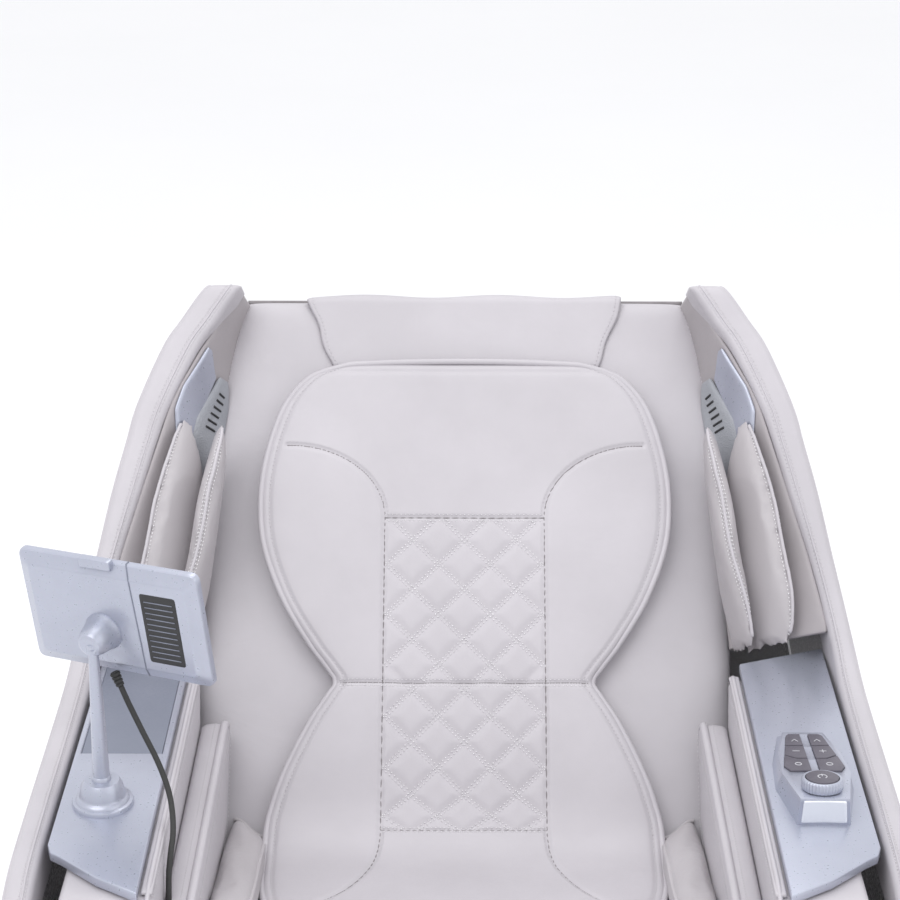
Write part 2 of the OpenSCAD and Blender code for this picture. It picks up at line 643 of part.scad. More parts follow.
module tablet_screen() color("black") on_tablet() translate([0, tablet_t + 0.05, 0]) rotate([-90, 0, 0])
    linear_extrude(1.2) polygon(round_rect(tablet_w - 8, tablet_h - 8, 6));

// Catmull-Rom point between b and c
function spline(a, b, c, d, f) = 0.5 * (2 * b + (c - a) * f + (2 * a - 5 * b + 4 * c - d) * f * f
    + (3 * b - a - 3 * c + d) * f * f * f);
cable_line = let (p = cable_path, n = len(p)) [for (i = [0:n - 2], f = [0, 0.5])
    spline(p[max(i - 1, 0)], p[i], p[i + 1], p[min(i + 2, n - 1)], f), p[n - 1]];

module tablet_cable() color("black") skin([for (i = [0:len(cable_line) - 1])
    let (a = cable_line[max(i - 1, 0)], b = cable_line[min(i + 1, len(cable_line) - 1)],
        d = (b - a) / norm(b - a), u = cross(d, [0, 1, 0]) / norm(cross(d, [0, 1, 0])), v = cross(d, u))
    [for (k = [0:7]) cable_line[i] + cable_d / 2 * (cos(45 * k) * u + sin(45 * k) * v)]]);

module strain_relief() color("black") {
    a = cable_path[0];
    d = (cable_path[0] - cable_path[1]) / norm(cable_path[0] - cable_path[1]);
    tilt = acos(d[2]);
    turn = atan2(d[1], d[0]);
    translate(a) rotate([0, tilt, turn]) for (i = [0:3]) translate([0, 0, 0.2 + 3.6 * i])
        cylinder(d = 8 + 0.7 * i, h = i == 3 ? 3 : 3.6);
}

// ---------------------------------------------------------------- control pod

module control_pod() color("silver") {
    foot = [[24, 75], [-24, 75], [-35, 20], [-37.5, -27], [-25, -92], [25, -92], [37.5, -27], [35, 20]];
    face = [[20, 69], [-20, 69], [-30, 20], [-33, -30], [-23, -91], [23, -91], [33, -30], [30, 20]];
    floor_z = pod_face_z - key_well - 0.5;
    skin([[for (p = foot) [pod_x + p[0], p[1], arm_top + 0.05]],
        [for (p = face) [pod_x + p[0], p[1], floor_z + (pod_rear - p[1]) * tan(pod_slope)]]]);
    on_pod() translate([0, 0, -key_well - 0.8]) linear_extrude(key_well + 0.8) difference() {
        polygon([for (p = face) [p[0], (p[1] - pod_rear) / cos(pod_slope)]]);
        for (m = [0, 1]) mirror([m, 0]) for (k = key_shapes) polygon([for (p = k)
            [p[0] + (p[0] < 10 ? -0.3 : 0.3), -p[1] + (p[1] < k[0][1] + 9 ? 0.3 : -0.3)]]);
        translate([0, -knob_v]) circle(d = 16);
    }
}

module key(i) on_pod() mirror([i > 2 ? 1 : 0, 0, 0])
    translate([0, 0, -key_well + key_travel + 0.3]) linear_extrude(key_well + 0.6)
        polygon([for (p = key_shapes[i % 3]) [p[0], -p[1]]]);
module key_1() color("dimgray") key(0);
module key_2() color("dimgray") key(1);
module key_3() color("dimgray") key(2);
module key_4() color("dimgray") key(3);
module key_5() color("dimgray") key(4);
module key_6() color("dimgray") key(5);

module volume_knob() color("silver") on_pod() translate([0, -knob_v, 0]) difference() {
    union() {
        translate([0, 0, gap]) cylinder(d = knob_d, h = 11);
        translate([0, 0, -2.5]) cylinder(d = 15.8, h = 3);
    }
    translate([0, 0, 7.5]) cylinder(d = knob_d - 8, h = 6);
}

module power_button() color("dimgray") on_pod() translate([0, -knob_v, 8.8])
    cylinder(d = knob_d - 9, h = 3.4);

// ---------------------------------------------------------------- the model

base_frame();
base_skirt();
levelling_feet();
rear_wheels();
control_box();
mains_inlet();
mains_switch();
recline_actuator();
recline_rod();
pivot_pins();
pod_frame();
roller_tracks();
seat_pan();
back_shell();
side_shell_left();
side_shell_right();
side_band_left();
side_band_right();
arm_body_left();
arm_body_right();
arm_plate_left();
arm_plate_right();
charge_panel();
wing_linings();
wing_trims();
speaker_pods();
back_cushion();
seat_cushion();
overlay_pad();
top_flap();
shoulder_flaps_inner();
shoulder_flaps_outer();
arm_airbags();
hip_flaps();
air_pump();
legrest_actuator();
legrest_rod();
legrest_frame();
calf_section();
foot_section();
foot_rollers();
roller_carriage();
roller_arm_left();
roller_arm_right();
massage_roller_left();
massage_roller_right();
stand_base();
tablet_housing();
tablet_screen();
tablet_cable();
strain_relief();
control_pod();
volume_knob();
power_button();
key_1();
key_2();
key_3();
key_4();
key_5();
key_6();
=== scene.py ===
# Massage chair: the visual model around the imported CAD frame. Metres, +Z up, faces -Y.
import json
import math
import bmesh
import bpy
import numpy as np
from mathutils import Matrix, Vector
from mathutils.bvhtree import BVHTree

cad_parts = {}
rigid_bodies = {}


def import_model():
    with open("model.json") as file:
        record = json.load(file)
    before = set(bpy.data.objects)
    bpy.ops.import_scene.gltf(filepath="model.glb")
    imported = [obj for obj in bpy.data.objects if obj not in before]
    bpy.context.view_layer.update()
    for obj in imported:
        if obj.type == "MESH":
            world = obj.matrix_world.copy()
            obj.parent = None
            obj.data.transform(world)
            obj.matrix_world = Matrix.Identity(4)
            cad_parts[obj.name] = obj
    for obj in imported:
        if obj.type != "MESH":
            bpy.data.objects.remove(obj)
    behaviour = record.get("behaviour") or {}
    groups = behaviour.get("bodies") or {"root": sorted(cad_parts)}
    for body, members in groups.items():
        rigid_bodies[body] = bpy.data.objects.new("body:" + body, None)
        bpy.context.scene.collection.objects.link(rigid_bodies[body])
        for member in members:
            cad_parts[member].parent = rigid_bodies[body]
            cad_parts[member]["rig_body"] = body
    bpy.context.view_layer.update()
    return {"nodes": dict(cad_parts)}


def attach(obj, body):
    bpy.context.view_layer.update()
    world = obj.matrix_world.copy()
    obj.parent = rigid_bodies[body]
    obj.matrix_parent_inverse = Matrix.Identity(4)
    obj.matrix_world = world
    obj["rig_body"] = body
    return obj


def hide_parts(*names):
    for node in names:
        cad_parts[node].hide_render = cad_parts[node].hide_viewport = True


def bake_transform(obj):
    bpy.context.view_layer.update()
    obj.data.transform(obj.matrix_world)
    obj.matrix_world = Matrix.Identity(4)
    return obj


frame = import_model()
scene = bpy.context.scene
MM = 0.001
LEAN, RISE, LEG = (math.radians(a) for a in (42, 11, 35))
CREASE_Y, CREASE_Z = 130, 470
HINGE_Y, HINGE_Z = -320.04, 460.7
BACK_TOP = 651
PAD_TOP = 26
ARM_TOP = 660
SHARP_EDGE = 30
TINY = 1e-12


# ------------------------------------------------------------------ camera

lens = bpy.data.cameras.new("camera")
lens.lens = 96
lens.sensor_width = 36
lens.clip_end = 60
camera = bpy.data.objects.new("camera", lens)
camera.location = (0, -2.029, 1.840)
camera.rotation_euler = (math.radians(67.5), 0, math.radians(0.38))
scene.collection.objects.link(camera)
scene.camera = camera


# ------------------------------------------------------------------ places on the chair

def arr(*c):
    return np.stack(np.broadcast_arrays(*[np.asarray(v, float) for v in c]), -1) * MM


def back(x, t, h):
    """x across, t up the back from the crease, h proud of it."""
    sin, cos = math.sin(LEAN), math.cos(LEAN)
    return arr(x, CREASE_Y + t * sin - h * cos, CREASE_Z + t * cos + h * sin)


def seat(x, s, n):
    """x across, s forward from the crease, n above the seat."""
    sin, cos = math.sin(RISE), math.cos(RISE)
    return arr(x, CREASE_Y - s * cos + n * sin, CREASE_Z + s * sin + n * cos)


def leg(x, y, z):
    """x across, y behind and z above the legrest hinge, along the leg."""
    sin, cos = math.sin(LEG), math.cos(LEG)
    return arr(x, HINGE_Y + y * cos + z * sin, HINGE_Z - y * sin + z * cos)


def columns(a, b):
    """Points of two coordinates, either of which may be one number."""
    return np.stack(np.broadcast_arrays(a, b), 1)


def ease(a, b, x):
    f = np.clip((np.asarray(x, float) - a) / (b - a), 0, 1)
    return f * f * (3 - 2 * f)


def between(lo, hi, v):
    """The value at v, which runs from -1 to 1, between lo and hi."""
    return lo + (v + 1) / 2 * (hi - lo)


def resample(points, n, closed=False):
    """n samples of a Catmull-Rom spline through the points, or through rows of them."""
    p = np.asarray(points, float)
    m = len(p)
    at = np.arange(n) * m / n if closed else np.linspace(0, m - 1, n)
    i = np.floor(at).astype(int)
    if not closed:
        i = np.minimum(i, m - 2)
    f = (at - i).reshape((-1,) + (1,) * (p.ndim - 1))
    a, b, c, d = (p[(i + k) % m] if closed else p[np.clip(i + k, 0, m - 1)] for k in (-1, 0, 1, 2))
    return 0.5 * (2 * b + (c - a) * f + (2 * a - 5 * b + 4 * c - d) * f**2 + (3 * b - a - 3 * c + d) * f**3)


def even(points, step, closed=False):
    """The polyline again with its points a step apart."""
    p = np.asarray(points, float)
    if closed:
        p = np.vstack([p, p[:1]])
    run = np.concatenate([[0], np.cumsum(np.linalg.norm(np.diff(p, axis=0), axis=1))])
    n = max(int(run[-1] / step), 3)
    at = np.linspace(0, run[-1], n, endpoint=not closed)
    return np.stack([np.interp(at, run, p[:, k]) for k in range(p.shape[1])], 1)


def table(rows, x):
    """A smooth value from rows of [where, value], in rising order of where."""
    r = np.asarray(sorted(rows), float)
    dense = resample(r, 12 * len(r))
    return np.interp(x, dense[:, 0], dense[:, 1])


# ------------------------------------------------------------------ materials

def node_of(tree, kind, **inputs):
    """A shader node with its inputs, or else its own settings, given by name."""
    n = tree.nodes.new(kind)
    for k, v in inputs.items():
        if k in n.inputs:
            n.inputs[k].default_value = v
        else:
            setattr(n, k, v)
    return n


SLOTS = {}


def finish_of(name, slot, dark, light, rough, bumps, patch=5.0, metallic=0.0, wear=0.0, coat=0.0, sheen=0.0,
              flake=0.0):
    """A procedural finish: mottled, worn at its edges, with bumps of [kind, scale, strength, depth]."""
    mat = bpy.data.materials.new(name)
    SLOTS[mat.name] = slot
    mat.use_nodes = True
    tree = mat.node_tree
    link = tree.links.new
    out = tree.nodes["Principled BSDF"]
    for socket, value in (("Metallic", metallic), ("Coat Weight", coat), ("Coat Roughness", 0.12),
                          ("Sheen Weight", sheen), ("Sheen Roughness", 0.4), ("Specular IOR Level", 0.5)):
        out.inputs[socket].default_value = value
    place = tree.nodes.new("ShaderNodeTexCoord").outputs["Object"]
    mottle = node_of(tree, "ShaderNodeTexNoise", Scale=patch, Detail=5.0, Roughness=0.6)
    link(place, mottle.inputs["Vector"])
    ramp = tree.nodes.new("ShaderNodeValToRGB")
    for stop, position, tone in zip(ramp.color_ramp.elements, (0.32, 0.68), (dark, light)):
        stop.position = position
        stop.color = (*tone, 1)
    link(mottle.outputs["Fac"], ramp.inputs["Fac"])
    colour = ramp.outputs["Color"]
    fine = node_of(tree, "ShaderNodeTexNoise", Scale=380.0, Detail=3.0)
    link(place, fine.inputs["Vector"])
    if flake:
        speck = node_of(tree, "ShaderNodeMixRGB", blend_type="OVERLAY", Fac=flake)
        link(colour, speck.inputs["Color1"])
        link(fine.outputs["Color"], speck.inputs["Color2"])
        colour = speck.outputs["Color"]
    if wear:
        edge = tree.nodes.new("ShaderNodeNewGeometry").outputs["Pointiness"]
        rim = node_of(tree, "ShaderNodeMapRange", **{"From Min": 0.5, "From Max": 0.62, "To Max": wear})
        link(edge, rim.inputs["Value"])
        worn = node_of(tree, "ShaderNodeMixRGB", blend_type="MIX")
        worn.inputs["Color2"].default_value = (*[min(1, c * 1.5 + 0.04) for c in light], 1)
        link(rim.outputs["Result"], worn.inputs["Fac"])
        link(colour, worn.inputs["Color1"])
        colour = worn.outputs["Color"]
    link(colour, out.inputs["Base Color"])
    gloss = node_of(tree, "ShaderNodeMapRange", **{"From Min": 0.3, "From Max": 0.7,
                                                   "To Min": max(0.05, rough - 0.06), "To Max": rough + 0.07})
    link(fine.outputs["Fac"], gloss.inputs["Value"])
    link(gloss.outputs["Result"], out.inputs["Roughness"])
    normal = None
    for kind, scale, strength, depth in bumps:
        if kind == "noise":
            tex = node_of(tree, "ShaderNodeTexNoise", Scale=scale, Detail=4.0, Roughness=0.55)
            height = tex.outputs["Fac"]
        elif kind == "creases":
            tex = node_of(tree, "ShaderNodeTexNoise", Scale=scale, Detail=3.0, Roughness=0.5, Distortion=1.4)
            height = tex.outputs["Fac"]
        else:
            feature = "DISTANCE_TO_EDGE" if kind == "grain" else "F1"
            tex = node_of(tree, "ShaderNodeTexVoronoi", Scale=scale, feature=feature)
            height = tex.outputs["Distance"]
        link(place, tex.inputs["Vector"])
        bump = node_of(tree, "ShaderNodeBump", Strength=strength, Distance=depth)
        link(height, bump.inputs["Height"])
        if normal:
            link(normal, bump.inputs["Normal"])
        normal = bump.outputs["Normal"]
    if normal:
        link(normal, out.inputs["Normal"])
    return mat


HIDE = [["creases", 9, 0.25, 0.004], ["noise", 60, 0.12, 0.0015], ["grain", 850, 0.35, 0.00035]]
LEATHER = finish_of("leather", "leather", (0.472, 0.450, 0.476), (0.530, 0.506, 0.535), 0.45, HIDE,
                    sheen=0.06, wear=0.08)
FLAP = finish_of("flap_leather", "flap_leather", (0.425, 0.400, 0.415), (0.480, 0.455, 0.472), 0.47, HIDE,
                 sheen=0.06, wear=0.12)
# Painted shade: the wing lining is the leather darkened to stand for the shade inside the wings.
LINING_SHADED = finish_of("lining_leather_painted_shade", "panel_plastic", (0.35, 0.325, 0.335), (0.41, 0.38, 0.395), 0.5, HIDE,
                   sheen=0.05)
THREAD = finish_of("thread", "leather", (0.56, 0.54, 0.56), (0.62, 0.60, 0.62), 0.6,
                   [["noise", 2500, 0.5, 0.0003]], patch=60)
QUILTING = finish_of("quilting_thread", "leather", (0.80, 0.79, 0.80), (0.88, 0.87, 0.88), 0.55,
                     [["noise", 2500, 0.5, 0.0003]], patch=60)
# Painted shade: a dark tone laid in seam grooves and gaps, where shade falls.
SEAM_SHADOW = finish_of("painted_seam_shadow", "leather", (0.20, 0.185, 0.19), (0.26, 0.24, 0.25), 0.7,
                    [["noise", 1500, 0.3, 0.0003]], patch=60)
SHELL = finish_of("shell_plastic", "shell_plastic", (0.60, 0.595, 0.605), (0.66, 0.655, 0.665), 0.26,
                  [["noise", 14, 0.03, 0.002], ["dots", 700, 0.03, 0.0002]], patch=3, coat=0.35, wear=0.1)
SILVER = finish_of("silver_paint", "silver_paint", (0.415, 0.435, 0.515), (0.475, 0.495, 0.580), 0.33,
                   [["noise", 900, 0.06, 0.0002]], patch=7, metallic=0.55, wear=0.12, coat=0.3, flake=0.04)
PANEL = finish_of("panel_plastic", "panel_plastic", (0.16, 0.175, 0.225), (0.20, 0.215, 0.27), 0.45,
                  [["dots", 1100, 0.25, 0.0003]], wear=0.15)
POD = finish_of("speaker_plastic", "panel_plastic", (0.30, 0.31, 0.34), (0.36, 0.37, 0.40), 0.5,
                [["dots", 620, 0.9, 0.0006]], patch=9)
KEY = finish_of("key_plastic", "key_plastic", (0.085, 0.078, 0.100), (0.115, 0.106, 0.130), 0.42,
                [["noise", 1200, 0.1, 0.0002]], wear=0.2, patch=30)
BLACK = finish_of("black_plastic", "black_plastic", (0.012, 0.012, 0.013), (0.026, 0.026, 0.028), 0.45,
                  [["noise", 1400, 0.2, 0.0002]], wear=0.15)
RUBBER = finish_of("rubber", "black_plastic", (0.018, 0.018, 0.018), (0.035, 0.035, 0.034), 0.7,
                   [["noise", 700, 0.3, 0.0003]], wear=0.2)
STEEL = finish_of("frame_steel", "frame_steel", (0.025, 0.025, 0.028), (0.05, 0.05, 0.054), 0.42,
                  [["noise", 500, 0.25, 0.0003]], wear=0.3)
BRIGHT = finish_of("bright_steel", "bright_steel", (0.48, 0.48, 0.49), (0.58, 0.58, 0.59), 0.25,
                   [["noise", 900, 0.12, 0.0002]], metallic=1.0)
ROLLER = finish_of("roller_plastic", "roller_plastic", (0.62, 0.55, 0.38), (0.70, 0.63, 0.45), 0.4,
                   [["noise", 300, 0.12, 0.0003]], wear=0.15)
BOARD = finish_of("board", "board", (0.42, 0.31, 0.19), (0.58, 0.46, 0.30), 0.6,
                  [["creases", 30, 0.4, 0.001]], patch=14)
RED = finish_of("switch_plastic", "switch_plastic", (0.20, 0.012, 0.012), (0.27, 0.02, 0.018), 0.3,
                [["noise", 900, 0.08, 0.0002]])
GLASS = finish_of("screen_glass", "screen_glass", (0.006, 0.006, 0.008), (0.012, 0.012, 0.016), 0.08,
                  [["noise", 8, 0.01, 0.001]], coat=0.5)
FACET = finish_of("bright_facet", "silver_paint", (0.88, 0.90, 0.94), (0.93, 0.95, 0.98), 0.18,
                  [["noise", 900, 0.04, 0.0001]], metallic=0.6, coat=0.5)
MARK = finish_of("key_marks", "key_plastic", (0.55, 0.55, 0.58), (0.62, 0.62, 0.65), 0.5,
                 [["noise", 900, 0.05, 0.0001]])


# ------------------------------------------------------------------ mesh building

def finished(name, bm, material, sharp):
    """The object of a BMesh, smooth except at its sharp edges."""
    mesh = bpy.data.meshes.new(name)
    bm.to_mesh(mesh)
    bm.free()
    mesh.shade_smooth()
    if sharp:
        mesh.set_sharp_from_angle(angle=math.radians(sharp))
    mesh.materials.append(material)
    obj = bpy.data.objects.new(name, mesh)
    scene.collection.objects.link(obj)
    return obj


def make(name, verts, faces, material, body, sharp=None, slot=None, node=None):
    """A mesh piece on a body, replacing a CAD node; its slot is worked out but not kept."""
    mesh = bpy.data.meshes.new(name)
    mesh.from_pydata([tuple(v) for v in np.asarray(verts, float)], [],
                     [tuple(int(i) for i in f) for f in faces])
    bm = bmesh.new()
    bm.from_mesh(mesh)
    bmesh.ops.remove_doubles(bm, verts=bm.verts, dist=1e-6)
    bmesh.ops.recalc_face_normals(bm, faces=bm.faces)
    bpy.data.meshes.remove(mesh)
    obj = finished(name, bm, material, sharp)
    if body:
        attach(obj, body)
        slot or SLOTS[material.name]
    if node:
        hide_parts(node)
    return obj


def join_parts(parts):
    verts, faces, base = [], [], 0
    for v, f in parts:
        verts.append(np.asarray(v, float))
        faces += [tuple(i + base for i in g) for g in f]
        base += len(v)
    return np.vstack(verts), faces


def flip_x(part):
    v = np.array(part[0], float)
    v[:, 0] *= -1
    return v, part[1]


SIDES = (("right", lambda part: part), ("left", flip_x))


def both(part):
    return join_parts([part, flip_x(part)])


def loft(rings, caps=True, loop=False):
    r = np.asarray(rings, float)
    m, n = r.shape[:2]
    faces = [(i * n + j, i * n + (j + 1) % n, (i + 1) % m * n + (j + 1) % n, (i + 1) % m * n + j)
             for i in range(m if loop else m - 1) for j in range(n)]
    if caps:
        faces += [tuple(range(n))[::-1], tuple((m - 1) * n + j for j in range(n))]
    return r.reshape(-1, 3), faces


def spread(n, share=0.7):
    a = np.linspace(-1, 1, n)
    return share * np.sin(a * math.pi / 2) + (1 - share) * a


def pillow(place, nu, nv, top, bottom, edge=(8, 8), power=0.5, detail=None, share=0.75):
    """A closed crowned form: place(u, v, h) is a point, u and v run -1 to 1, both faces meet at the rim."""
    u, v = np.meshgrid(spread(nu, share), spread(nv, share), indexing="ij")
    crown = np.clip((1 - np.abs(u) ** edge[0]) * (1 - np.abs(v) ** edge[1]), 0, 1) ** power
    mid = (top + bottom) / 2
    high = mid + (top - mid) * crown
    if detail is not None:
        high = high + detail(u, v) * np.minimum(1, crown * 1.6)
    upper = place(u, v, high)
    lower = place(u, v, mid - (mid - bottom) * crown)
    inner = np.zeros((nu, nv), bool)
    inner[1:-1, 1:-1] = True
    low_id = np.arange(nu * nv).reshape(nu, nv).copy()
    low_id[inner] = nu * nv + np.arange(inner.sum())
    top_id = np.arange(nu * nv).reshape(nu, nv)
    verts = np.vstack([upper.reshape(-1, 3), lower[inner]])
    faces = []
    for i in range(nu - 1):
        for j in range(nv - 1):
            faces.append((top_id[i, j], top_id[i + 1, j], top_id[i + 1, j + 1], top_id[i, j + 1]))
            faces.append((low_id[i, j], low_id[i, j + 1], low_id[i + 1, j + 1], low_id[i + 1, j]))
    return verts, faces


def tube(points, r, sides=8, closed=False):
    p = np.asarray(points, float)
    n = len(p)
    tang = np.roll(p, -1, 0) - np.roll(p, 1, 0) if closed else np.gradient(p, axis=0)
    tang /= np.linalg.norm(tang, axis=1)[:, None] + TINY
    side = np.cross(tang[0], (0.3, 0.5, 0.8))
    rings = []
    a = np.arange(sides) * 2 * math.pi / sides
    for i in range(n):
        side = side - tang[i] * (side @ tang[i])
        side /= np.linalg.norm(side)
        other = np.cross(tang[i], side)
        rings.append(p[i] + r * (np.cos(a)[:, None] * side + np.sin(a)[:, None] * other))
    return loft(rings, caps=not closed, loop=closed)


def stitches(points, pitch=4.6, length=3.0, r=0.55, closed=False):
    """A row of raised stitches along a line in metres; sizes in millimetres."""
    p = even(points, pitch * MM, closed)
    t = np.roll(p, -1, 0) - np.roll(p, 1, 0) if closed else np.gradient(p, axis=0)
    t /= np.linalg.norm(t, axis=1)[:, None] + TINY
    a = np.cross(t, (0.31, 0.87, 0.38))
    a /= np.linalg.norm(a, axis=1)[:, None]
    b = np.cross(t, a)
    half, r = length / 2 * MM, r * MM
    corners = np.stack([p - t * half, p + a * r, p + b * r, p - a * r, p - b * r, p + t * half], 1)
    faces = []
    for i in range(len(p)):
        k = 6 * i
        for q in range(4):
            faces += [(k, k + 1 + q, k + 1 + (q + 1) % 4), (k + 5, k + 1 + (q + 1) % 4, k + 1 + q)]
    return corners.reshape(-1, 3), faces


def outward(outline):
    """Unit normals of a closed 2D outline, pointing out of it."""
    p = np.asarray(outline, float)
    t = np.roll(p, -1, 0) - np.roll(p, 1, 0)
    n = np.stack([t[:, 1], -t[:, 0]], 1)
    n /= np.linalg.norm(n, axis=1)[:, None] + TINY
    area = 0.5 * np.sum(p[:, 0] * np.roll(p[:, 1], -1) - np.roll(p[:, 0], -1) * p[:, 1])
    return n if area > 0 else -n


def rounded(corners, radius, step=3.0):
    """A closed outline with rounded corners and points about a step apart; radius may be one per corner."""
    p = np.asarray(corners, float)
    n = len(p)
    radii = np.broadcast_to(np.asarray(radius, float), (n,))
    out = []
    for i in range(n):
        a, b, c = p[i - 1], p[i], p[(i + 1) % n]
        u, w = (a - b) / np.linalg.norm(a - b), (c - b) / np.linalg.norm(c - b)
        ang = math.acos(float(np.clip(u @ w, -1, 1)))
        cut = min(radii[i] / max(math.tan(ang / 2), 1e-3), 0.48 * np.linalg.norm(a - b),
                  0.48 * np.linalg.norm(c - b))
        f = np.linspace(0, 1, 7)[:, None]
        out.append((1 - f) ** 2 * (b + u * cut) + 2 * f * (1 - f) * b + f**2 * (b + w * cut))
    return even(np.vstack(out), step, closed=True)


def bolster(outline, lo, hi, r, place, crown=0.0, steps=6, bulge=0.0):
    """An extruded pad: an outline from lo to hi in the third axis, rims rounded by r, faces crowned."""
    o = np.asarray(outline, float)
    n = outward(o)
    centre = o.mean(0)
    rings = []
    a = np.linspace(0, math.pi / 2, steps)
    inset = [r * (1 - math.sin(x)) for x in a]
    level = [r * (1 - math.cos(x)) for x in a]
    for i, l in zip(inset, level):
        rings.append(place(o - n * i, lo + l))
    for f in (0.25, 0.5, 0.75) if bulge else ():
        rings.append(place(o + n * bulge * math.sin(math.pi * f), lo + r + f * (hi - lo - 2 * r)))
    for i, l in list(zip(inset, level))[::-1]:
        rings.append(place(o - n * i, hi - l))
    ends = []
    for f in (0.86, 0.68, 0.45, 0.2):
        q = centre + (o - n * r - centre) * f
        ends.append((q, crown * (1 - f * f) ** 0.5))
    rings = [place(q, lo - c) for q, c in ends[::-1]] + rings + [place(q, hi + c) for q, c in ends]
    return loft(rings)


def lathe(profile, sides=48, at=None):
    """A turned form from [radius, height] in millimetres; at(points) moves it into place."""
    a = np.arange(sides) * 2 * math.pi / sides
    rings = [np.stack([r * np.cos(a), r * np.sin(a), np.full(sides, z)], 1) for r, z in profile]
    v, f = loft(rings)
    return (at(v) if at else v * MM), f


def soften(name, node, material, width, segments=2):
    """A CAD node again, with its edges rounded and its curved faces smooth."""
    src = frame["nodes"][node]
    bm = bmesh.new()
    bm.from_mesh(src.data)
    bmesh.ops.remove_doubles(bm, verts=bm.verts, dist=2e-6)
    bmesh.ops.dissolve_limit(bm, angle_limit=math.radians(1.0), verts=bm.verts, edges=bm.edges)
    edges = [e for e in bm.edges if len(e.link_faces) == 2
             and e.calc_face_angle(0) > math.radians(SHARP_EDGE)]
    bmesh.ops.bevel(bm, geom=edges, offset=width * MM, segments=segments, affect="EDGES",
                    clamp_overlap=True, profile=0.5)
    obj = finished(name, bm, material, 50)
    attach(obj, src["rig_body"])
    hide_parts(node)


def inflate(obj, voxel=0.005, pressure=4.0, cap=0.010, frames=20):
    """Cloth simulation of a closed pad: it swells and wrinkles a little, and its result is kept."""
    mod = obj.modifiers.new("remesh", "REMESH")
    mod.mode = "VOXEL"
    mod.voxel_size = voxel
    graph = bpy.context.evaluated_depsgraph_get()
    base = bpy.data.meshes.new_from_object(obj.evaluated_get(graph))
    obj.modifiers.clear()
    materials = list(obj.data.materials)
    obj.data = base
    base.materials.clear()
    for m in materials:
        base.materials.append(m)
    start = np.array([v.co for v in base.vertices])
    cloth = obj.modifiers.new("cloth", "CLOTH")
    cloth.settings.use_pressure = True
    cloth.settings.uniform_pressure_force = pressure
    cloth.settings.effector_weights.gravity = 0
    cloth.settings.quality = 5
    cloth.point_cache.frame_start = 1
    cloth.point_cache.frame_end = frames
    for f in range(1, frames + 1):
        scene.frame_set(f)
    graph = bpy.context.evaluated_depsgraph_get()
    swollen = obj.evaluated_get(graph).to_mesh()
    end = np.array([v.co for v in swollen.vertices])
    obj.modifiers.clear()
    scene.frame_set(1)
    move = end - start
    size = np.linalg.norm(move, axis=1)[:, None]
    end = start + move * np.minimum(1, cap / np.maximum(size, 1e-9))
    base.vertices.foreach_set("co", end.reshape(-1))
    sub = obj.modifiers.new("subdivision", "SUBSURF")
    sub.levels = sub.render_levels = 1
    base.shade_smooth()
    base.update()


def on_surface(points, obj, lift, sign=1):
    """Points moved to the nearest place on a finished piece, then evened out; sign -1 mirrors them first."""
    tree = BVHTree.FromPolygons([v.co for v in obj.data.vertices], [q.vertices for q in obj.data.polygons])
    out = []
    for p in points * np.array([sign, 1, 1]):
        at, normal, _, _ = tree.find_nearest(Vector(p))
        out.append(at + normal * lift * MM)
    out = np.array(out)
    ends = np.pad(out, ((4, 4), (0, 0)), mode="edge")
    return sum(ends[k:k + len(out)] for k in range(9)) / 9


def axis_place(origin, direction):
    """Moves a turned form from its own axis to one through origin, in millimetres."""
    d = np.asarray(direction, float)
    d /= np.linalg.norm(d)
    a = np.cross(d, (0, 1, 0.02))
    a /= np.linalg.norm(a)
    b = np.cross(d, a)
    o = np.asarray(origin, float)
    return lambda v: (o + v[:, :1] * a + v[:, 1:2] * b + v[:, 2:] * d) * MM


# ------------------------------------------------------------------ the tablet's cable

CABLE = [[-322, -37, 775], [-315, -40, 758], [-302, -48, 732], [-288, -58, 706], [-278, -70, 684],
         [-273, -84, 668], [-271, -100, 654], [-272, -114, 642], [-273, -126, 628], [-273, -134, 612],
         [-273, -138, 600]]
cable_line = resample(CABLE, 61) * MM
cable = make("tablet_cable_flex", *tube(cable_line, 2.8 * MM, 12), RUBBER, None)
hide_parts("tablet_cable")
tuple(cable_line[0])
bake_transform(cable)
tuple(cable_line[0])

relief = axis_place(CABLE[0], np.subtract(CABLE[0], CABLE[1]))
rib = [[3.0, 0.1]]
for i in range(4):
    z = 0.4 + 3.6 * i
    rib += [[3.9 + 0.3 * i, z], [4.1 + 0.3 * i, z + 0.5], [4.1 + 0.3 * i, z + 2.1],
            [3.4 + 0.2 * i, z + 2.5], [3.4 + 0.2 * i, z + 3.2]]
make("strain_relief_boot", *lathe(rib, 24, relief), RUBBER, "tablet", sharp=50, node="strain_relief")


# ------------------------------------------------------------------ pads and cushions

def soft(name, part, node, material=LEATHER, body="pod", slot=None):
    """A padded piece that stands for a CAD node."""
    obj = make(name, *part, material, body, slot=slot, node=node)
    return obj


def trim(name, parts, material=LEATHER, body="pod", slot=None, sharp=None):
    """Several parts as one piece that stands for no node of its own."""
    make(name, *join_parts(parts), material, body, slot=slot, sharp=sharp)


def near(points, seams):
    """Distance from each (x, q) point to the nearest seam, in millimetres."""
    best = np.full(points.shape[:-1], 1e9)
    for s in seams:
        p = even(s, 3.0)
        for k in range(0, len(p), 40):
            d = np.linalg.norm(points[..., None, :] - p[k:k + 40], axis=-1).min(-1)
            best = np.minimum(best, d)
    return best


def groove(d, depth, width):
    return -depth * np.exp(-(d / width) ** 2)


BACK_HALF = [[0, 284], [60, 286], [250, 290], [400, 292], [446, 293], [512, 287], [550, 281], [600, 272],
             [630, 263], [651, 252]]
PANEL_SEAM = [[420, 288], [446, 287], [512, 279], [550, 273], [596, 265], [630, 256], [645, 248]]


def back_place(u, v, h):
    t = BACK_TOP / 2 * (1 + v)
    return back(u * table(BACK_HALF, t), t, h)


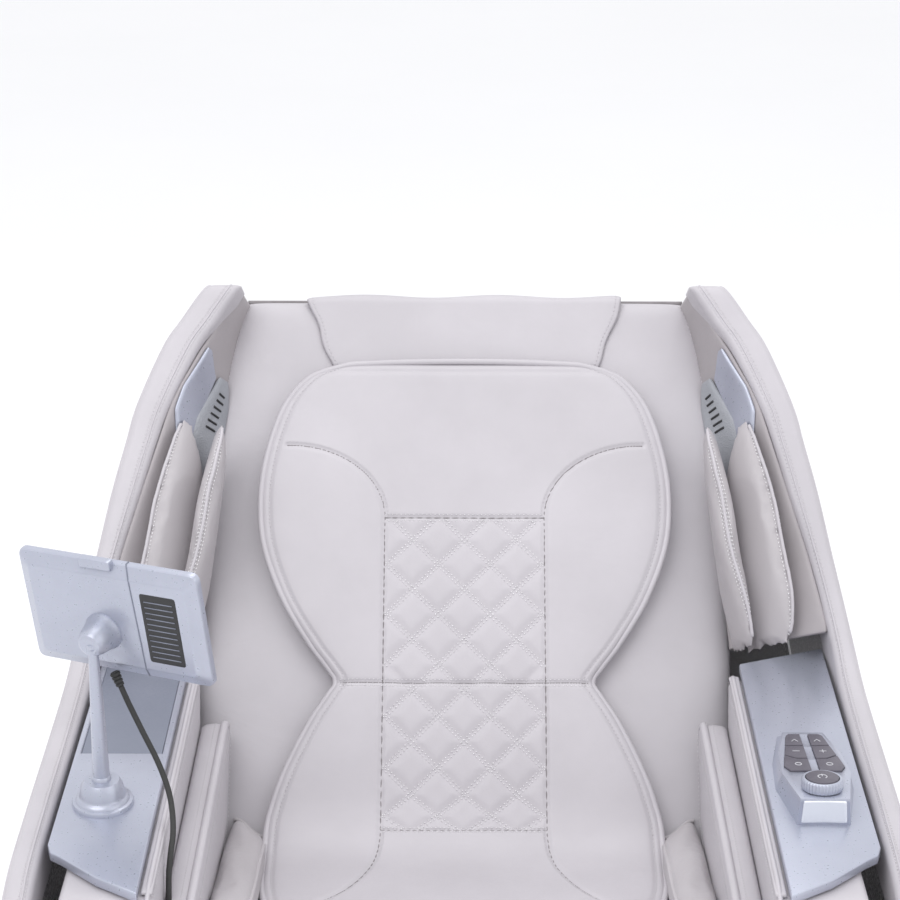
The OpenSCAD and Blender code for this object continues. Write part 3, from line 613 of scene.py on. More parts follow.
def back_detail(u, v):
    t = BACK_TOP / 2 * (1 + v)
    side = np.abs(np.abs(u) * table(BACK_HALF, t) - table(PANEL_SEAM, t))
    ripple = 0.9 * np.sin(t / 31 + 2.1 * u) * np.sin(u * 9 + t / 57)
    sink = -7 * np.exp(-((t - 330) / 150) ** 2) * np.exp(-((np.abs(u) - 0.86) / 0.16) ** 2)
    return groove(side, 1.6, 3.0) * (t > 430) + ripple + sink


def crowned(top, bottom, edge, power, detail=None):
    def high(u, v):
        u, v = np.asarray(u, float), np.asarray(v, float)
        crown = np.clip((1 - np.abs(u) ** edge[0]) * (1 - np.abs(v) ** edge[1]), 0, 1) ** power
        mid = (top + bottom) / 2
        add = detail(u, v) * np.minimum(1, crown * 1.6) if detail else 0
        return mid + (top - mid) * crown + add
    return high


BACK_SHAPE = (0.0, -50, (22, 40), 0.5)
soft("back_cushion_cover", pillow(back_place, 110, 150, *BACK_SHAPE, back_detail), "back_cushion")
on_cushion = crowned(*BACK_SHAPE, back_detail)
t_run = np.linspace(432, 646, 80)
v_run = t_run / (BACK_TOP / 2) - 1
seam_run, half_run = table(PANEL_SEAM, t_run), table(BACK_HALF, t_run)
cord_parts, thread_parts = [], []
for side in (-1, 1):
    u_run = side * seam_run / half_run
    cord_parts.append(tube(back_place(u_run, v_run, on_cushion(u_run, v_run) + 0.8), 1.8 * MM, 8))
    u_run = side * (seam_run - 6) / half_run
    thread_parts.append(stitches(back_place(u_run, v_run, on_cushion(u_run, v_run) + 0.3)))
trim("back_cushion_piping", cord_parts)
# A dark tube of painted shade fills the gap behind the top of the back cushion.
gap_run = np.linspace(172, 249, 20)
trim("back_cushion_rear_gap_shade", [tube(back(side * gap_run, BACK_TOP + 1.5, -22), 3.0 * MM, 8)
                               for side in (-1, 1)], SEAM_SHADOW)
trim("back_cushion_stitching", thread_parts, THREAD)


# overlay pad: x across, q up the back from the crease, or below zero forward along the seat
PAD_HALF = [[562, 126], [552, 160], [540, 180], [510, 202], [460, 218], [408, 225], [350, 220], [290, 198],
            [240, 168], [212, 147], [196, 138], [180, 147], [150, 166], [100, 190], [60, 203], [16, 208],
            [-90, 206], [-160, 196], [-260, 184], [-380, 174], [-415, 166], [-430, 148]]
PAD_Q = (-430, 562)
PANEL_X, PANEL_HI, PANEL_LO, WAIST, BEND = 87, 379, 23, 194, 70
QUILT, QUILT_SHIFT = 56, 18


def pad_point(x, q, h):
    q = np.asarray(q, float)
    f = np.clip((q + BEND) / (2 * BEND), 0, 1)[..., None]
    arc = (1 - f) ** 2 * seat(x, BEND, 0) + 2 * f * (1 - f) * seat(x, 0, 0) + f**2 * back(x, BEND, 0)
    out = (1 - f) * (seat(0, 0, 1) - seat(0, 0, 0)) + f * (back(0, 0, 1) - back(0, 0, 0))
    out = out / np.linalg.norm(out, axis=-1, keepdims=True) * MM
    line = np.where((q > BEND)[..., None], back(x, q, 0),
                    np.where((q < -BEND)[..., None], seat(x, -q, 0), arc))
    return line + out * np.asarray(h, float)[..., None]


def pad_place(u, v, h):
    q = between(*PAD_Q, v)
    return pad_point(u * table(PAD_HALF, q), q, h)


sweep = np.linspace(0, math.pi / 2, 40)
seams = [columns(side * PANEL_X, np.linspace(PANEL_LO, PANEL_HI, 90)) for side in (-1, 1)]
for x, q in ((PANEL_X, PANEL_HI), (132, WAIST), (PANEL_X, PANEL_LO)):
    seams.append(columns(np.linspace(-x, x, 60), q))
for side in (-1, 1):
    seams.append(columns(side * (196 - 109 * np.sin(sweep)), PANEL_HI + 84 * np.cos(sweep)))
    seams.append(columns(side * (190 - 103 * np.cos(sweep)), PANEL_LO - 197 * np.sin(sweep))[:34])
quilt_lines = []
for sign in (-1, 1):
    for k in range(-4, 14):
        c = QUILT * k + QUILT_SHIFT
        x = np.linspace(-PANEL_X + 3, PANEL_X - 3, 60)
        q = c + sign * x
        keep = (q > PANEL_LO + 3) & (q < PANEL_HI - 3) & (np.abs(q - WAIST) > 3)
        for part in (keep & (q < WAIST), keep & (q > WAIST)):
            if part.sum() > 6:
                quilt_lines.append(columns(x[part], q[part]))


def pad_detail(u, v):
    q = between(*PAD_Q, v)
    half = table(PAD_HALF, q)
    x = u * half
    points = np.stack([x, q], -1)
    rim = np.minimum(np.minimum(half - np.abs(x), PAD_Q[1] - q), q - PAD_Q[0])
    inside = ease(0, 5, PANEL_X - np.abs(x)) * ease(0, 5, q - PANEL_LO) * ease(0, 5, PANEL_HI - q)
    tuft = np.zeros_like(x)
    for sign in (-1, 1):
        m = (q - sign * x - QUILT_SHIFT) % QUILT
        tuft = np.minimum(tuft, groove(np.minimum(m, QUILT - m) / math.sqrt(2), 2.4, 6.0))
    swell = 1.8 * np.exp(-((np.abs(x) - 140) / 45) ** 2) * ease(60, 120, q) * ease(520, 420, q)
    ripple = 0.5 * np.sin(q / 37 + x / 53) * np.sin(x / 29 - q / 71)
    return groove(near(points, seams), 2.6, 2.4) + tuft * inside + groove(rim - 11, 1.3, 2.6) + swell + ripple


PAD_SHAPE = (PAD_TOP, 0.4, (16, 44), 0.42)
soft("overlay_pad_cover", pillow(pad_place, 220, 470, *PAD_SHAPE, pad_detail, share=0.25), "overlay_pad")
pad_high = crowned(*PAD_SHAPE, pad_detail)


def on_pad(line, lift):
    """Points of an (x, q) line laid on the pad's surface."""
    x, q = np.asarray(line, float).T
    v = 2 * (q - PAD_Q[0]) / (PAD_Q[1] - PAD_Q[0]) - 1
    u = x / table(PAD_HALF, q)
    return pad_point(x, q, pad_high(u, v) + lift)


def beside(line, gap):
    p = np.asarray(line, float)
    t = np.gradient(p, axis=0)
    t /= np.linalg.norm(t, axis=1)[:, None]
    return p + gap * np.stack([-t[:, 1], t[:, 0]], 1)


quilt_parts = [stitches(on_pad(beside(even(q, 3), g), 0.5), 4.4, 2.5, 0.75) for q in quilt_lines
               for g in (-1.7, 1.7)]
quilt_parts += [stitches(on_pad(beside(even(s, 3), g), 0.3), 4.4, 2.8, 0.55) for s in seams[2:5]
                for g in (-3.4, 3.4)]
trim("overlay_pad_quilting", quilt_parts, QUILTING)
# Dark tubes of painted shade lie in the pad's seam grooves.
trim("overlay_pad_seam_shade", [tube(on_pad(even(s, 3), 0.1), 0.75 * MM, 6) for s in seams], SEAM_SHADOW)
thread_parts = []
for s in seams[5:]:
    gap = 3.6 * math.copysign(1, -s[:, 0].mean())
    thread_parts.append(stitches(on_pad(beside(even(s, 3), gap), 0.2), 4.4, 3.0, 0.4))
q_run = np.concatenate([np.linspace(-424, 190, 200), np.linspace(202, 556, 130)])
for side in (-1, 1):
    x_run = side * (table(PAD_HALF, q_run) - 11)
    thread_parts.append(stitches(on_pad(columns(x_run, q_run), 0.3), 4.4, 3.0, 0.6))
trim("overlay_pad_stitching", thread_parts, THREAD)
q_run = np.linspace(-428, 561, 420)
edge_run = table(PAD_HALF, q_run) - 1.5
top_edge = np.linspace(1, -1, 60)[1:-1]
loop = np.vstack([columns(edge_run, q_run), columns(top_edge * edge_run[-1], 561 + 4 * (1 - top_edge**2)),
                  columns(-edge_run, q_run)[::-1], columns(-top_edge * edge_run[0], -429)])
loop = resample(even(loop, 9, closed=True), 900, closed=True)
trim("overlay_pad_piping", [tube(pad_point(loop[:, 0], loop[:, 1], np.full(len(loop), 17.5)), 3.7 * MM, 10,
                                 closed=True)])


# seat cushion
SEAT_HALF, SEAT_BACK, SEAT_FRONT = 237, -32, 461


def seat_place(u, v, h):
    s = between(SEAT_BACK, SEAT_FRONT, v)
    return seat(u * SEAT_HALF * (1 - 0.02 * np.abs(v) ** 8), s, h)


def seat_detail(u, v):
    x = np.abs(u) * SEAT_HALF
    s = between(SEAT_BACK, SEAT_FRONT, v)
    return groove(x - 214, 2.2, 4) + groove(s - 436, 2.2, 4) * (x < 214) + 0.6 * np.sin(s / 33 + u * 3)


SEAT_SHAPE = (0.0, -60, (20, 16), 0.5)
soft("seat_cushion_cover", pillow(seat_place, 84, 110, *SEAT_SHAPE, seat_detail), "seat_cushion")
seat_high = crowned(*SEAT_SHAPE, seat_detail)
s_run = np.linspace(0, 436, 120)
path = np.vstack([columns(-214.0, s_run), columns(np.linspace(-214, 214, 90), 436.0)[1:-1],
                  columns(214.0, s_run[::-1])])
v_path = 2 * (path[:, 1] - SEAT_BACK) / (SEAT_FRONT - SEAT_BACK) - 1
u_path = path[:, 0] / SEAT_HALF
trim("seat_cushion_piping", [tube(seat_place(u_path, v_path, seat_high(u_path, v_path) + 1.2), 2.0 * MM, 8)])


# flap over the top edge of the back
def flap_path(l):
    """(t, h, direction of the outside) along the flap: up the back, over its top edge and down behind."""
    turn = np.clip((l - 80) / 6, 0, 1) * math.pi / 2
    t = np.where(l < 80, 564 + l, 644 + 3 * np.sin(turn))
    h = np.where(l < 86, -2.6 + 3 * np.cos(turn), -2.6 - (l - 86))
    return t, h, turn


def flap_place(u, v, h):
    l = 66 + 66 * v
    t, base, turn = flap_path(l)
    half = np.interp(l, [0, 36, 84, 132], [149, 163, 179, 181]) + 1.6 * np.sin(l / 9 + u)
    wave = 1.6 * np.sin(u * 7.5) * ease(50, 90, l)
    return back(u * half, t + (h + wave) * np.sin(turn), base + h * np.cos(turn) + 0.6 * wave)


FLAP_SHAPE = (5.6, 0.2, (30, 40), 0.5)
soft("top_flap_cover", pillow(flap_place, 90, 60, *FLAP_SHAPE, share=0.5), "top_flap")
flap_high = crowned(*FLAP_SHAPE)
v_run = np.linspace(-0.95, 0.95, 60)
trim("top_flap_stitching",
     [stitches(flap_place(np.full(60, s), v_run, flap_high(np.full(60, s), v_run) + 0.3))
      for s in (-0.965, 0.965)], THREAD)


# ------------------------------------------------------------------ wings

EDGE = [[524, 972, 280, 256, 30], [502, 988, 288, 250, 32], [475, 958, 315, 274, 40],
        [455, 935, 333, 293, 42], [409, 885, 358, 322, 42], [380, 852, 368, 335, 42],
        [342, 811, 380, 349, 43], [297, 760, 392, 367, 46], [261, 720, 402, 379, 54],
        [225, 690, 409, 386, 68], [170, 668, 413, 388, 84], [70, 662, 414, 388, 90],
        [-70, 660, 414, 388, 90], [-170, 654, 414, 388, 84], [-230, 628, 414, 388, 58],
        [-268, 575, 413, 388, 20], [-282, 480, 411, 386, 2], [-276, 380, 406, 382, -4],
        [-256, 290, 399, 376, -12], [-240, 245, 394, 374, -16]]
RIM_T = [622, 612, 590, 560, 490, 450, 400, 330, 270, 210, 140, 60, -20, -80, -130, -170, -200, -225, -250,
         -268]
SHELL_HALF = [[-280, 372], [-100, 382], [0, 384], [100, 382], [200, 374], [300, 362], [400, 344], [500, 318],
              [560, 298], [600, 282], [640, 262]]
BAND_DEPTH = 54
RIM_H = -64
SHELL_SQUARE, SHELL_ROUND = 0.45, 0.55
edges = resample(EDGE, 140)
rims = resample(np.array(RIM_T, float)[:, None], 140)[:, 0]


def band_ring(e, grow=0.0):
    y, z, xo, xi, a = e
    r = min(9.0, 0.36 * (xo - xi))
    a = math.radians(a)
    ring = []
    for cx, cy, start in ((xo - r, BAND_DEPTH - r, 0), (xi + r, BAND_DEPTH - r, 90), (xi + r, r, 180),
                          (xo - r, r, 270)):
        for k in range(7):
            b = math.radians(start + 15 * k)
            ring.append((cx + (r + grow) * math.cos(b), cy + (r + grow) * math.sin(b)))
    q = np.array(ring)
    return arr(q[:, 0], y + q[:, 1] * math.cos(a), z - q[:, 1] * math.sin(a))


def band_line(share, lift, lo=0, hi=140):
    """A line along the band's front face, at a share of its width from the inner side."""
    out = []
    for y, z, xo, xi, a in edges[lo:hi]:
        a = math.radians(a)
        out.append(arr(xi + (xo - xi) * share, y - lift * math.cos(a), z + lift * math.sin(a)))
    return np.array(out)


band_part = loft([band_ring(e) for e in edges])
seam_part = join_parts([tube(band_line(0.30, 0.1, 2, 138), 1.1 * MM, 6),
                        tube(band_line(0.985, -7, 2, 138), 1.6 * MM, 6)])
seam_threads = join_parts([stitches(band_line(0.40, 0.2, 2, 138)), stitches(band_line(0.21, 0.2, 2, 138))])


def side_ring(e, rim):
    y, z, xo, xi, a = e
    a = math.radians(a)
    d = BAND_DEPTH + 2
    front = np.array([xo - 1.5, y + d * math.cos(a), z - d * math.sin(a)])
    rear = back(float(np.interp(rim, *np.array(SHELL_HALF).T)), rim, RIM_H) / MM
    bulge = min(6, 0.05 * np.linalg.norm(rear - front))
    f = np.linspace(0, 1, 14)[:, None]
    run = front + f * (rear - front) + np.sin(math.pi * f) * np.array([bulge, 0, 0])
    inner = run - np.array([5.5, 0, 0])
    return np.vstack([run, inner[::-1]]) * MM


shell_part = loft([side_ring(e, r) for e, r in zip(edges[8:], rims[8:])])
for name, turn in SIDES:
    band = make("side_band_cover_" + name, *turn(band_part), LEATHER, "pod", node="side_band_" + name)
    make("side_band_seam_" + name, *turn(seam_part), LEATHER, "pod")
    make("side_band_stitching_" + name, *turn(seam_threads), THREAD, "pod")
    make("side_shell_panel_" + name, *turn(shell_part), SHELL, "pod", sharp=60, node="side_shell_" + name)

ring_rows = resample([[646, 10], [642, 26], [630, 48], [600, 66], [560, 78], [500, 88], [400, 94],
                      [300, 96], [200, 95], [100, 92], [0, 84], [-60, 60]], 60)


def shell_arc(w, depth, inset):
    a = np.linspace(0, math.pi, 61)
    x = (w - inset) * np.sign(np.cos(a)) * np.abs(np.cos(a)) ** SHELL_SQUARE
    return x, RIM_H - 4 - (depth - inset) * np.sin(a).clip(0) ** SHELL_ROUND


def shell_ring(t, depth):
    w = float(np.interp(t, *np.array(SHELL_HALF).T)) - 2
    ox, oh = shell_arc(w, depth, 0)
    ix, ih = shell_arc(w, depth, 5)
    return back(np.concatenate([ox, ix[::-1]]), t, np.concatenate([oh, ih[::-1]]))


make("back_shell_panel", *loft([shell_ring(t, d) for t, d in ring_rows]), SHELL, "pod", sharp=60,
     node="back_shell")
seam_rows = ring_rows[4:56]
parts = []
for x_share in (-0.62, 0.62):
    line = []
    for t, depth in seam_rows:
        w = float(np.interp(t, *np.array(SHELL_HALF).T)) - 2
        a = math.acos(abs(x_share) ** (1 / SHELL_SQUARE))
        line.append(back(x_share * w, t, RIM_H - 4 - depth * math.sin(a) ** SHELL_ROUND - 0.2))
    parts.append(tube(np.array(line), 1.3 * MM, 6))
trim("back_shell_joints", parts, PANEL)

WALL_ROOT = [[250, 285], [395, 278], [494, 270], [562, 264], [600, 258], [646, 244]]
WALL_LIP = [[250, 382], [327, 365], [395, 347], [446, 333], [494, 320], [562, 291], [600, 274], [646, 256]]


def wall_x(t, h):
    a, b = (np.interp(t, *np.array(r, float).T) for r in (WALL_ROOT, WALL_LIP))
    return a + (b - a) * (np.asarray(h, float) + 10) / 75


def wall_pad(rows, top, bottom, count, edge):
    """A strip on the wing's inner wall, from rows of [t, lowest h, highest h], and its place function."""
    r = np.asarray(sorted(rows), float)

    def place(u, v, off):
        t = between(r[0, 0], r[-1, 0], v)
        lo, hi = (np.interp(t, r[:, 0], r[:, k]) for k in (1, 2))
        h = between(lo, hi, u)
        return back(wall_x(t, h) - off, t, h)
    return place, pillow(place, count, 2 * count, top, bottom, edge, 0.5)


# The wing lining takes the darkened leather, painted shade for the inside of the wings.
lining = wall_pad([[240, -10, 64], [520, -14, 64], [560, -40, 60], [600, -60, 50], [646, -60, 40]], 0.1,
                  -5.6, 24, (20, 20))[1]
make("wing_lining_cloth", *both(lining), LINING_SHADED, "pod", node="wing_linings")
silver = wall_pad([[458, 34, 48], [490, 30, 62], [518, 28, 66], [541, 24, 62], [566, 50, 57]], 5.2, 0.3, 26,
                  (12, 12))[1]
make("wing_trim_shell", *both(silver), SILVER, "pod", node="wing_trims")
pod_place, speaker = wall_pad([[430, 6, 22], [460, 0, 35], [490, -4, 36], [515, -4, 30], [545, 4, 20]], 9.0,
                              0.3, 26, (6, 7))
make("speaker_pod_shell", *both(speaker), POD, "pod", node="speaker_pods")
slots = []
for k in range(6):
    t = 524 - 8.2 * k
    v = 2 * (t - 430) / (545 - 430) - 1
    u = np.linspace(-0.15, 0.5, 9)
    high = crowned(9.0, 0.3, (6, 7), 0.5)(u, np.full(9, v))
    slots.append(tube(pod_place(u, np.full(9, v) + 0.05 * u, high + 0.1), 1.35 * MM, 8))
make("speaker_slots", *both(join_parts(slots)), BLACK, "pod")

# shoulder flaps: [t, root x, lip x, lip height, thickness, root height]
FLAPS = {
    "inner": [[484, 268, 266, 50, 3, 40], [470, 271, 265, 64, 9, 32], [430, 276, 268, 78, 17, 12],
              [380, 280, 276, 80, 20, 7], [323, 284, 287, 76, 20, 7], [270, 286, 300, 68, 18, 7],
              [226, 288, 312, 54, 10, 7]],
    "outer": [[488, 304, 311, 52, 3, 46], [474, 298, 312, 63, 9, 44], [430, 288, 323, 74, 16, 26],
              [380, 289, 334, 76, 18, 7], [323, 294, 344, 74, 18, 7], [270, 298, 350, 66, 16, 7],
              [228, 301, 348, 52, 10, 7]],
}
FLAP_SECTION = (0.86, -0.86, (2.6, 5), 0.6)


def flap_leaf(rows):
    r = resample(sorted(rows), 60)

    def place(u, v, off):
        t = between(r[0, 0], r[-1, 0], v)
        q = [np.interp(t, r[:, 0], r[:, k]) for k in range(6)]
        rx, rh, lx, lh, w = q[1], q[5], q[2], q[3], q[4]
        length = np.hypot(lx - rx, lh - rh)
        dx, dh = (lx - rx) / length, (lh - rh) / length
        f = (u + 1) / 2 * length
        droop = 2.2 * np.sin(t / 19) * ease(0, 1, (u + 1) / 2)
        x = rx + dx * f + dh * (off * w / 2 + 0.5 * droop)
        return back(x, t, rh + dh * f - dx * off * w / 2)
    return place


for which, rows in FLAPS.items():
    place = flap_leaf(rows)
    leaf = pillow(place, 26, 60, *FLAP_SECTION)
    lip_v = np.linspace(-0.93, 0.93, 80)
    ridge = place(np.full(80, 0.98), lip_v, np.zeros(80))
    rows_of_thread = []
    for u_at in (0.95, 0.88):
        crown = crowned(*FLAP_SECTION)(np.full(80, u_at), lip_v)
        rows_of_thread += [place(np.full(80, u_at), lip_v, face * crown) for face in (1, -1)]
    for (name, turn), sign in zip(SIDES, (1, -1)):
        end = which + "_" + name
        obj = soft("shoulder_flap_" + end, turn(leaf), "shoulder_flaps_" + which, FLAP)
        inflate(obj, 0.004, 2.0, 0.004)
        ridge_line = on_surface(ridge, obj, 0.8, sign)
        make("shoulder_flap_ridge_" + end, *tube(ridge_line, 1.9 * MM, 8), LEATHER, "pod",
             slot="flap_leather")
        threads = [stitches(on_surface(row, obj, 0.9, sign), 4.2, 2.6, 0.75) for row in rows_of_thread]
        trim("shoulder_flap_stitching_" + end, threads, QUILTING, slot="flap_leather")


# ------------------------------------------------------------------ armrests

def across(o, x):
    return arr(x, o[:, 0], o[:, 1])


ARM = [[-206, 262], [-226, 330], [-240, 480], [-237, 590], [-226, 632], [-200, 648], [224, 648], [196, 572],
       [140, 505], [112, 462], [-40, 262]]
arm_part = bolster(rounded(ARM, [14, 60, 60, 40, 16, 12, 8, 20, 20, 40, 14], 8), 278.5, 364, 8, across,
                   crown=0.8)
rim = rounded([[-198, 648], [218, 648], [218, 652], [-198, 652]], 1.5, 3)
strip_part = bolster(rim, 278.8, 289.6, 2, across)
welt = resample([[216, 651.5], [100, 652], [-100, 652], [-190, 651], [-222, 636], [-235, 600], [-239, 520],
                 [-236, 420], [-224, 322]], 120)
welt_part = tube(arr(283, welt[:, 0], welt[:, 1]), 2.4 * MM, 8)
welt_thread = stitches(arr(278.4, welt[:, 0] + 6 * ease(-180, -215, welt[:, 0]),
                           welt[:, 1] - 6 * ease(-225, -195, welt[:, 0])))
BAG = [[-238, 566], [-238, 605], [196, 605], [213, 594], [150, 513], [60, 501]]
bag_outline = rounded(BAG, [10, 12, 10, 10, 20, 40], 5)
bag_part = bolster(bag_outline, 248, 277.6, 8, across, crown=1.5, bulge=0.8)
bag_normal = outward(bag_outline)
bag_welts = [tube(across(bag_outline - bag_normal * 0.5, 252.5), 4.4 * MM, 10, closed=True)]
bag_thread = join_parts([stitches(across(bag_outline - bag_normal * 11, 246.4), closed=True),
                         stitches(across(bag_outline + bag_normal * 0.9, 262), closed=True)])


def hip_place(u, v, h):
    s = 122 + 128 * v
    lift = 10 * ease(-1, 1, u) + 1.2 * np.sin(s / 17 + 3 * u)
    return seat(226 + 20 * u * (1 - 0.1 * np.abs(v) ** 6), s - 22 * ease(-1, 1, u) * ease(0.2, -1, v),
                h + lift)


hip_part = pillow(hip_place, 30, 74, 43.0, 2.0, (5, 10), 0.5)
hip_run = np.linspace(-0.97, 0.97, 90)
hip_side = hip_place(np.full(90, -0.93), hip_run, np.full(90, 36.0) - 20 * np.abs(hip_run) ** 10)
hip_end = hip_place(np.linspace(-0.9, 0.9, 30), np.full(30, -0.97), np.full(30, 34.0))
hip_welt = join_parts([tube(line, 2.4 * MM, 8) for line in (hip_side, hip_end)])
for name, turn in SIDES:
    soft("arm_body_cover_" + name, turn(arm_part), "arm_body_" + name)
    make("arm_body_strip_" + name, *turn(strip_part), LEATHER, "pod")
    make("arm_body_piping_" + name, *turn(welt_part), LEATHER, "pod")
    make("arm_body_stitching_" + name, *turn(welt_thread), THREAD, "pod")
    soft("arm_airbag_cover_" + name, turn(bag_part), "arm_airbags")
    make("arm_airbag_piping_" + name, *turn(join_parts(bag_welts)), LEATHER, "pod")
    make("arm_airbag_stitching_" + name, *turn(bag_thread), THREAD, "pod")
    hip = soft("hip_flap_cover_" + name, turn(hip_part), "hip_flaps", FLAP, slot="leather")
    inflate(hip, 0.004, 3.0, 0.003)
    make("hip_flap_piping_" + name, *turn(hip_welt), FLAP, "pod", slot="leather")
    soften("arm_plate_cap_" + name, "arm_plate_" + name, SILVER, 1.6, segments=3)
soften("charge_panel_face", "charge_panel", PANEL, 0.5)


# ------------------------------------------------------------------ tablet, its stand and the control pod

STAND = [[0.1, 0], [29, 0], [29, 3.4], [28.4, 4.6], [26.5, 5.2], [25.6, 5.4], [25.2, 6.6], [23.5, 8.6],
         [22.6, 9.0], [22.0, 9.6], [21.6, 12], [19.8, 20], [17.4, 24.6], [16.6, 25.8], [9.2, 26.2],
         [8.8, 29.6], [8.1, 30.4], [7.9, 40], [7.2, 70], [6.2, 110], [5.0, 150], [4.6, 163], [6.2, 165],
         [6.9, 167], [6.2, 169.4], [3.5, 170.6], [0.1, 170.9]]
POLE = (-342, -57)
make("stand_turned", *lathe(STAND, 64, axis_place((*POLE, ARM_TOP), (0, 0, 1))), SILVER, "pod", sharp=38,
     node="stand_base")

TABLET_AT, TABLET_TURN = np.array([-326.0, -42, 845]), [math.radians(a) for a in (7.5, -2.6, -24.5)]


def on_tablet(x, y, z):
    """x along the tablet's back, -y out of its back, z up it."""
    p = np.stack(np.broadcast_arrays(*[np.asarray(v, float) for v in (x, y, z)]), -1)
    ax, ay, az = TABLET_TURN
    rx = np.array([[1, 0, 0], [0, math.cos(ax), -math.sin(ax)], [0, math.sin(ax), math.cos(ax)]])
    ry = np.array([[math.cos(ay), 0, math.sin(ay)], [0, 1, 0], [-math.sin(ay), 0, math.cos(ay)]])
    rz = np.array([[math.cos(az), -math.sin(az), 0], [math.sin(az), math.cos(az), 0], [0, 0, 1]])
    return (p @ (rz @ rx @ ry).T + TABLET_AT) * MM


def tablet_layer(o, y):
    return on_tablet(o[:, 0], y, o[:, 1])


def slab(w, h, r, n):
    o = rounded([[w / 2, h / 2], [-w / 2, h / 2], [-w / 2, -h / 2], [w / 2, -h / 2]], r, 2.5)
    return resample(o, n, closed=True)


rows = [(193, 120, 8, 13), (193, 120, 8, 12.4), (193, 120, 8, 8.2), (192.4, 119.4, 8, 7.4),
        (191, 118, 7, 6.2), (171, 98, 6, 1.2), (169, 96, 6, 0.4), (166, 93, 6, 0)]
rings = []
for w, h, r, y in rows:
    o = slab(w, h, r, 200)
    rings.append(on_tablet(o[:, 0], y, o[:, 1]))
bell = [[19.4, 0.6], [19.4, -0.8], [19, -2.2], [18, -4], [16.9, -9], [15.6, -15], [14.2, -20], [12.9, -24],
        [11.2, -26.6], [8.6, -27.6], [7.4, -27.4]]
a = np.arange(56) * 2 * math.pi / 56
bell_rings = [on_tablet(-11 + r * np.cos(a), y, -13 + r * np.sin(a)) for r, y in bell]
tab = bolster(rounded([[-26, 54], [8, 54], [8, 64], [-26, 64]], 2, 1.5), 0.4, 8.5, 1.2, tablet_layer)
make("tablet_back", *join_parts([loft(rings), loft(bell_rings), tab]), SILVER, "tablet", sharp=28,
     node="tablet_housing")
split = [[22, 12.6, 60.3], [22, 8, 60.3], [23, 6.2, 59.3], [26, 1.1, 49.2], [27, -0.1, 46], [28, -0.1, 0],
         [29, -0.1, -46], [28, 1.1, -49.2], [27, 6.2, -59.3], [26, 8, -60.3], [26, 12.6, -60.3]]
p = np.array(split, float)
make("tablet_joint_line", *tube(on_tablet(p[:, 0], p[:, 1], p[:, 2]), 0.7 * MM, 6), PANEL, "tablet")
vent = bolster(rounded([[36, -38], [74, -38], [74, 36], [36, 36]], 2.5, 2), -0.35, 0.5, 0.25, tablet_layer,
               steps=3)
make("tablet_vent_panel", *vent, BLACK, "tablet")
fins = [tube(on_tablet([40, 70], [-0.5, -0.5], [z, z]), 0.55 * MM, 6) for z in range(-32, 34, 6)]
trim("tablet_vent_fins", fins, PANEL, "tablet")
soften("tablet_glass", "tablet_screen", GLASS, 0.4)

POD_SLOPE, POD_X, MARK_LIFT = math.radians(7), 336, 2.05


def on_pod(x, d, h):
    """x across the control pod, d forward down its face from the rear, h above the face."""
    x, d = np.asarray(x, float), np.asarray(d, float)
    sin, cos = math.sin(POD_SLOPE), math.cos(POD_SLOPE)
    return arr(POD_X + x, 69 - d * cos + h * sin, 668 + d * sin + h * cos)


soften("control_pod_body", "control_pod", SILVER, 0.7)
facet = [[-21.5, 662.5], [21.5, 662.5], [20, 685.5], [-20, 685.5]]


def facet_layer(o, y):
    return arr(POD_X + o[:, 0], y + 0.9 * (1 - np.abs(o[:, 0]) / 22), o[:, 1])


facet = bolster(rounded(facet, 1.5, 1.5), -92.9, -91.2, 0.5, facet_layer, steps=3)
make("control_pod_facet", *facet, FACET, "pod", sharp=25)
for i in range(1, 7):
    soften("key_cap_%d" % i, "key_%d" % i, KEY, 0.6, segments=3)
    col, row = (1 if i < 4 else -1), (i - 1) % 3
    cx, cd = [(11, 25), (13, 52), (15, 84)][row]
    if i in (1, 4):
        marks = [([cx - 3, cx, cx + 3], [cd + 2.5, cd - 2.5, cd + 2.5])]
    elif i in (2, 5):
        marks = [([cx - 3.5, cx + 3.5], [cd, cd]), ([cx, cx], [cd - 3.5, cd + 3.5])][:1 if i == 5 else 2]
    else:
        ang = np.arange(20) * 2 * math.pi / 20
        marks = [(cx + 3 * col * np.cos(ang), cd + 3 * np.sin(ang))]
    ring = i in (3, 6)
    parts = [tube(on_pod(col * np.array(x), y, MARK_LIFT), 0.45 * MM, 6, closed=ring) for x, y in marks]
    trim("key_mark_%d" % i, parts, MARK, "key_%d" % i)
KNOB_D = 138
ang = np.arange(216) * 2 * math.pi / 216
knob_rows = [[7.8, -2.4, 0], [7.8, 0.4, 0], [17.6, 0.5, 0], [19.0, 1.0, 0], [19.4, 2.0, 0.9],
             [19.5, 5.0, 0.9], [19.5, 9.0, 0.9], [19.2, 10.2, 0.9], [18.6, 11.0, 0], [17.6, 11.4, 0],
             [16.3, 11.3, 0], [16.0, 10.6, 0], [15.9, 7.5, 0], [0.2, 7.5, 0]]
knob_rings = []
for r, h, knurl in knob_rows:
    rad = r + 0.5 * knurl * np.sign(np.sin(36 * ang)) * np.abs(np.sin(36 * ang)) ** 0.7
    knob_rings.append(on_pod(rad * np.cos(ang), KNOB_D + rad * np.sin(ang), h))
make("volume_knob_ring", *loft(knob_rings), SILVER, "volume_knob", sharp=40, node="volume_knob")
soften("power_button_cap", "power_button", KEY, 0.7, segments=3)
arc = np.linspace(math.radians(125), math.radians(415), 26)
power = [tube(on_pod(4.2 * np.cos(arc), KNOB_D + 4.2 * np.sin(arc), 12.3), 0.5 * MM, 6),
         tube(on_pod([0, 0], [KNOB_D - 5.4, KNOB_D - 0.6], 12.3), 0.5 * MM, 6)]
trim("power_button_mark", power, MARK, "power_button")


# ------------------------------------------------------------------ legrest

def down_leg(o, z):
    return leg(o[:, 0], o[:, 1], z)


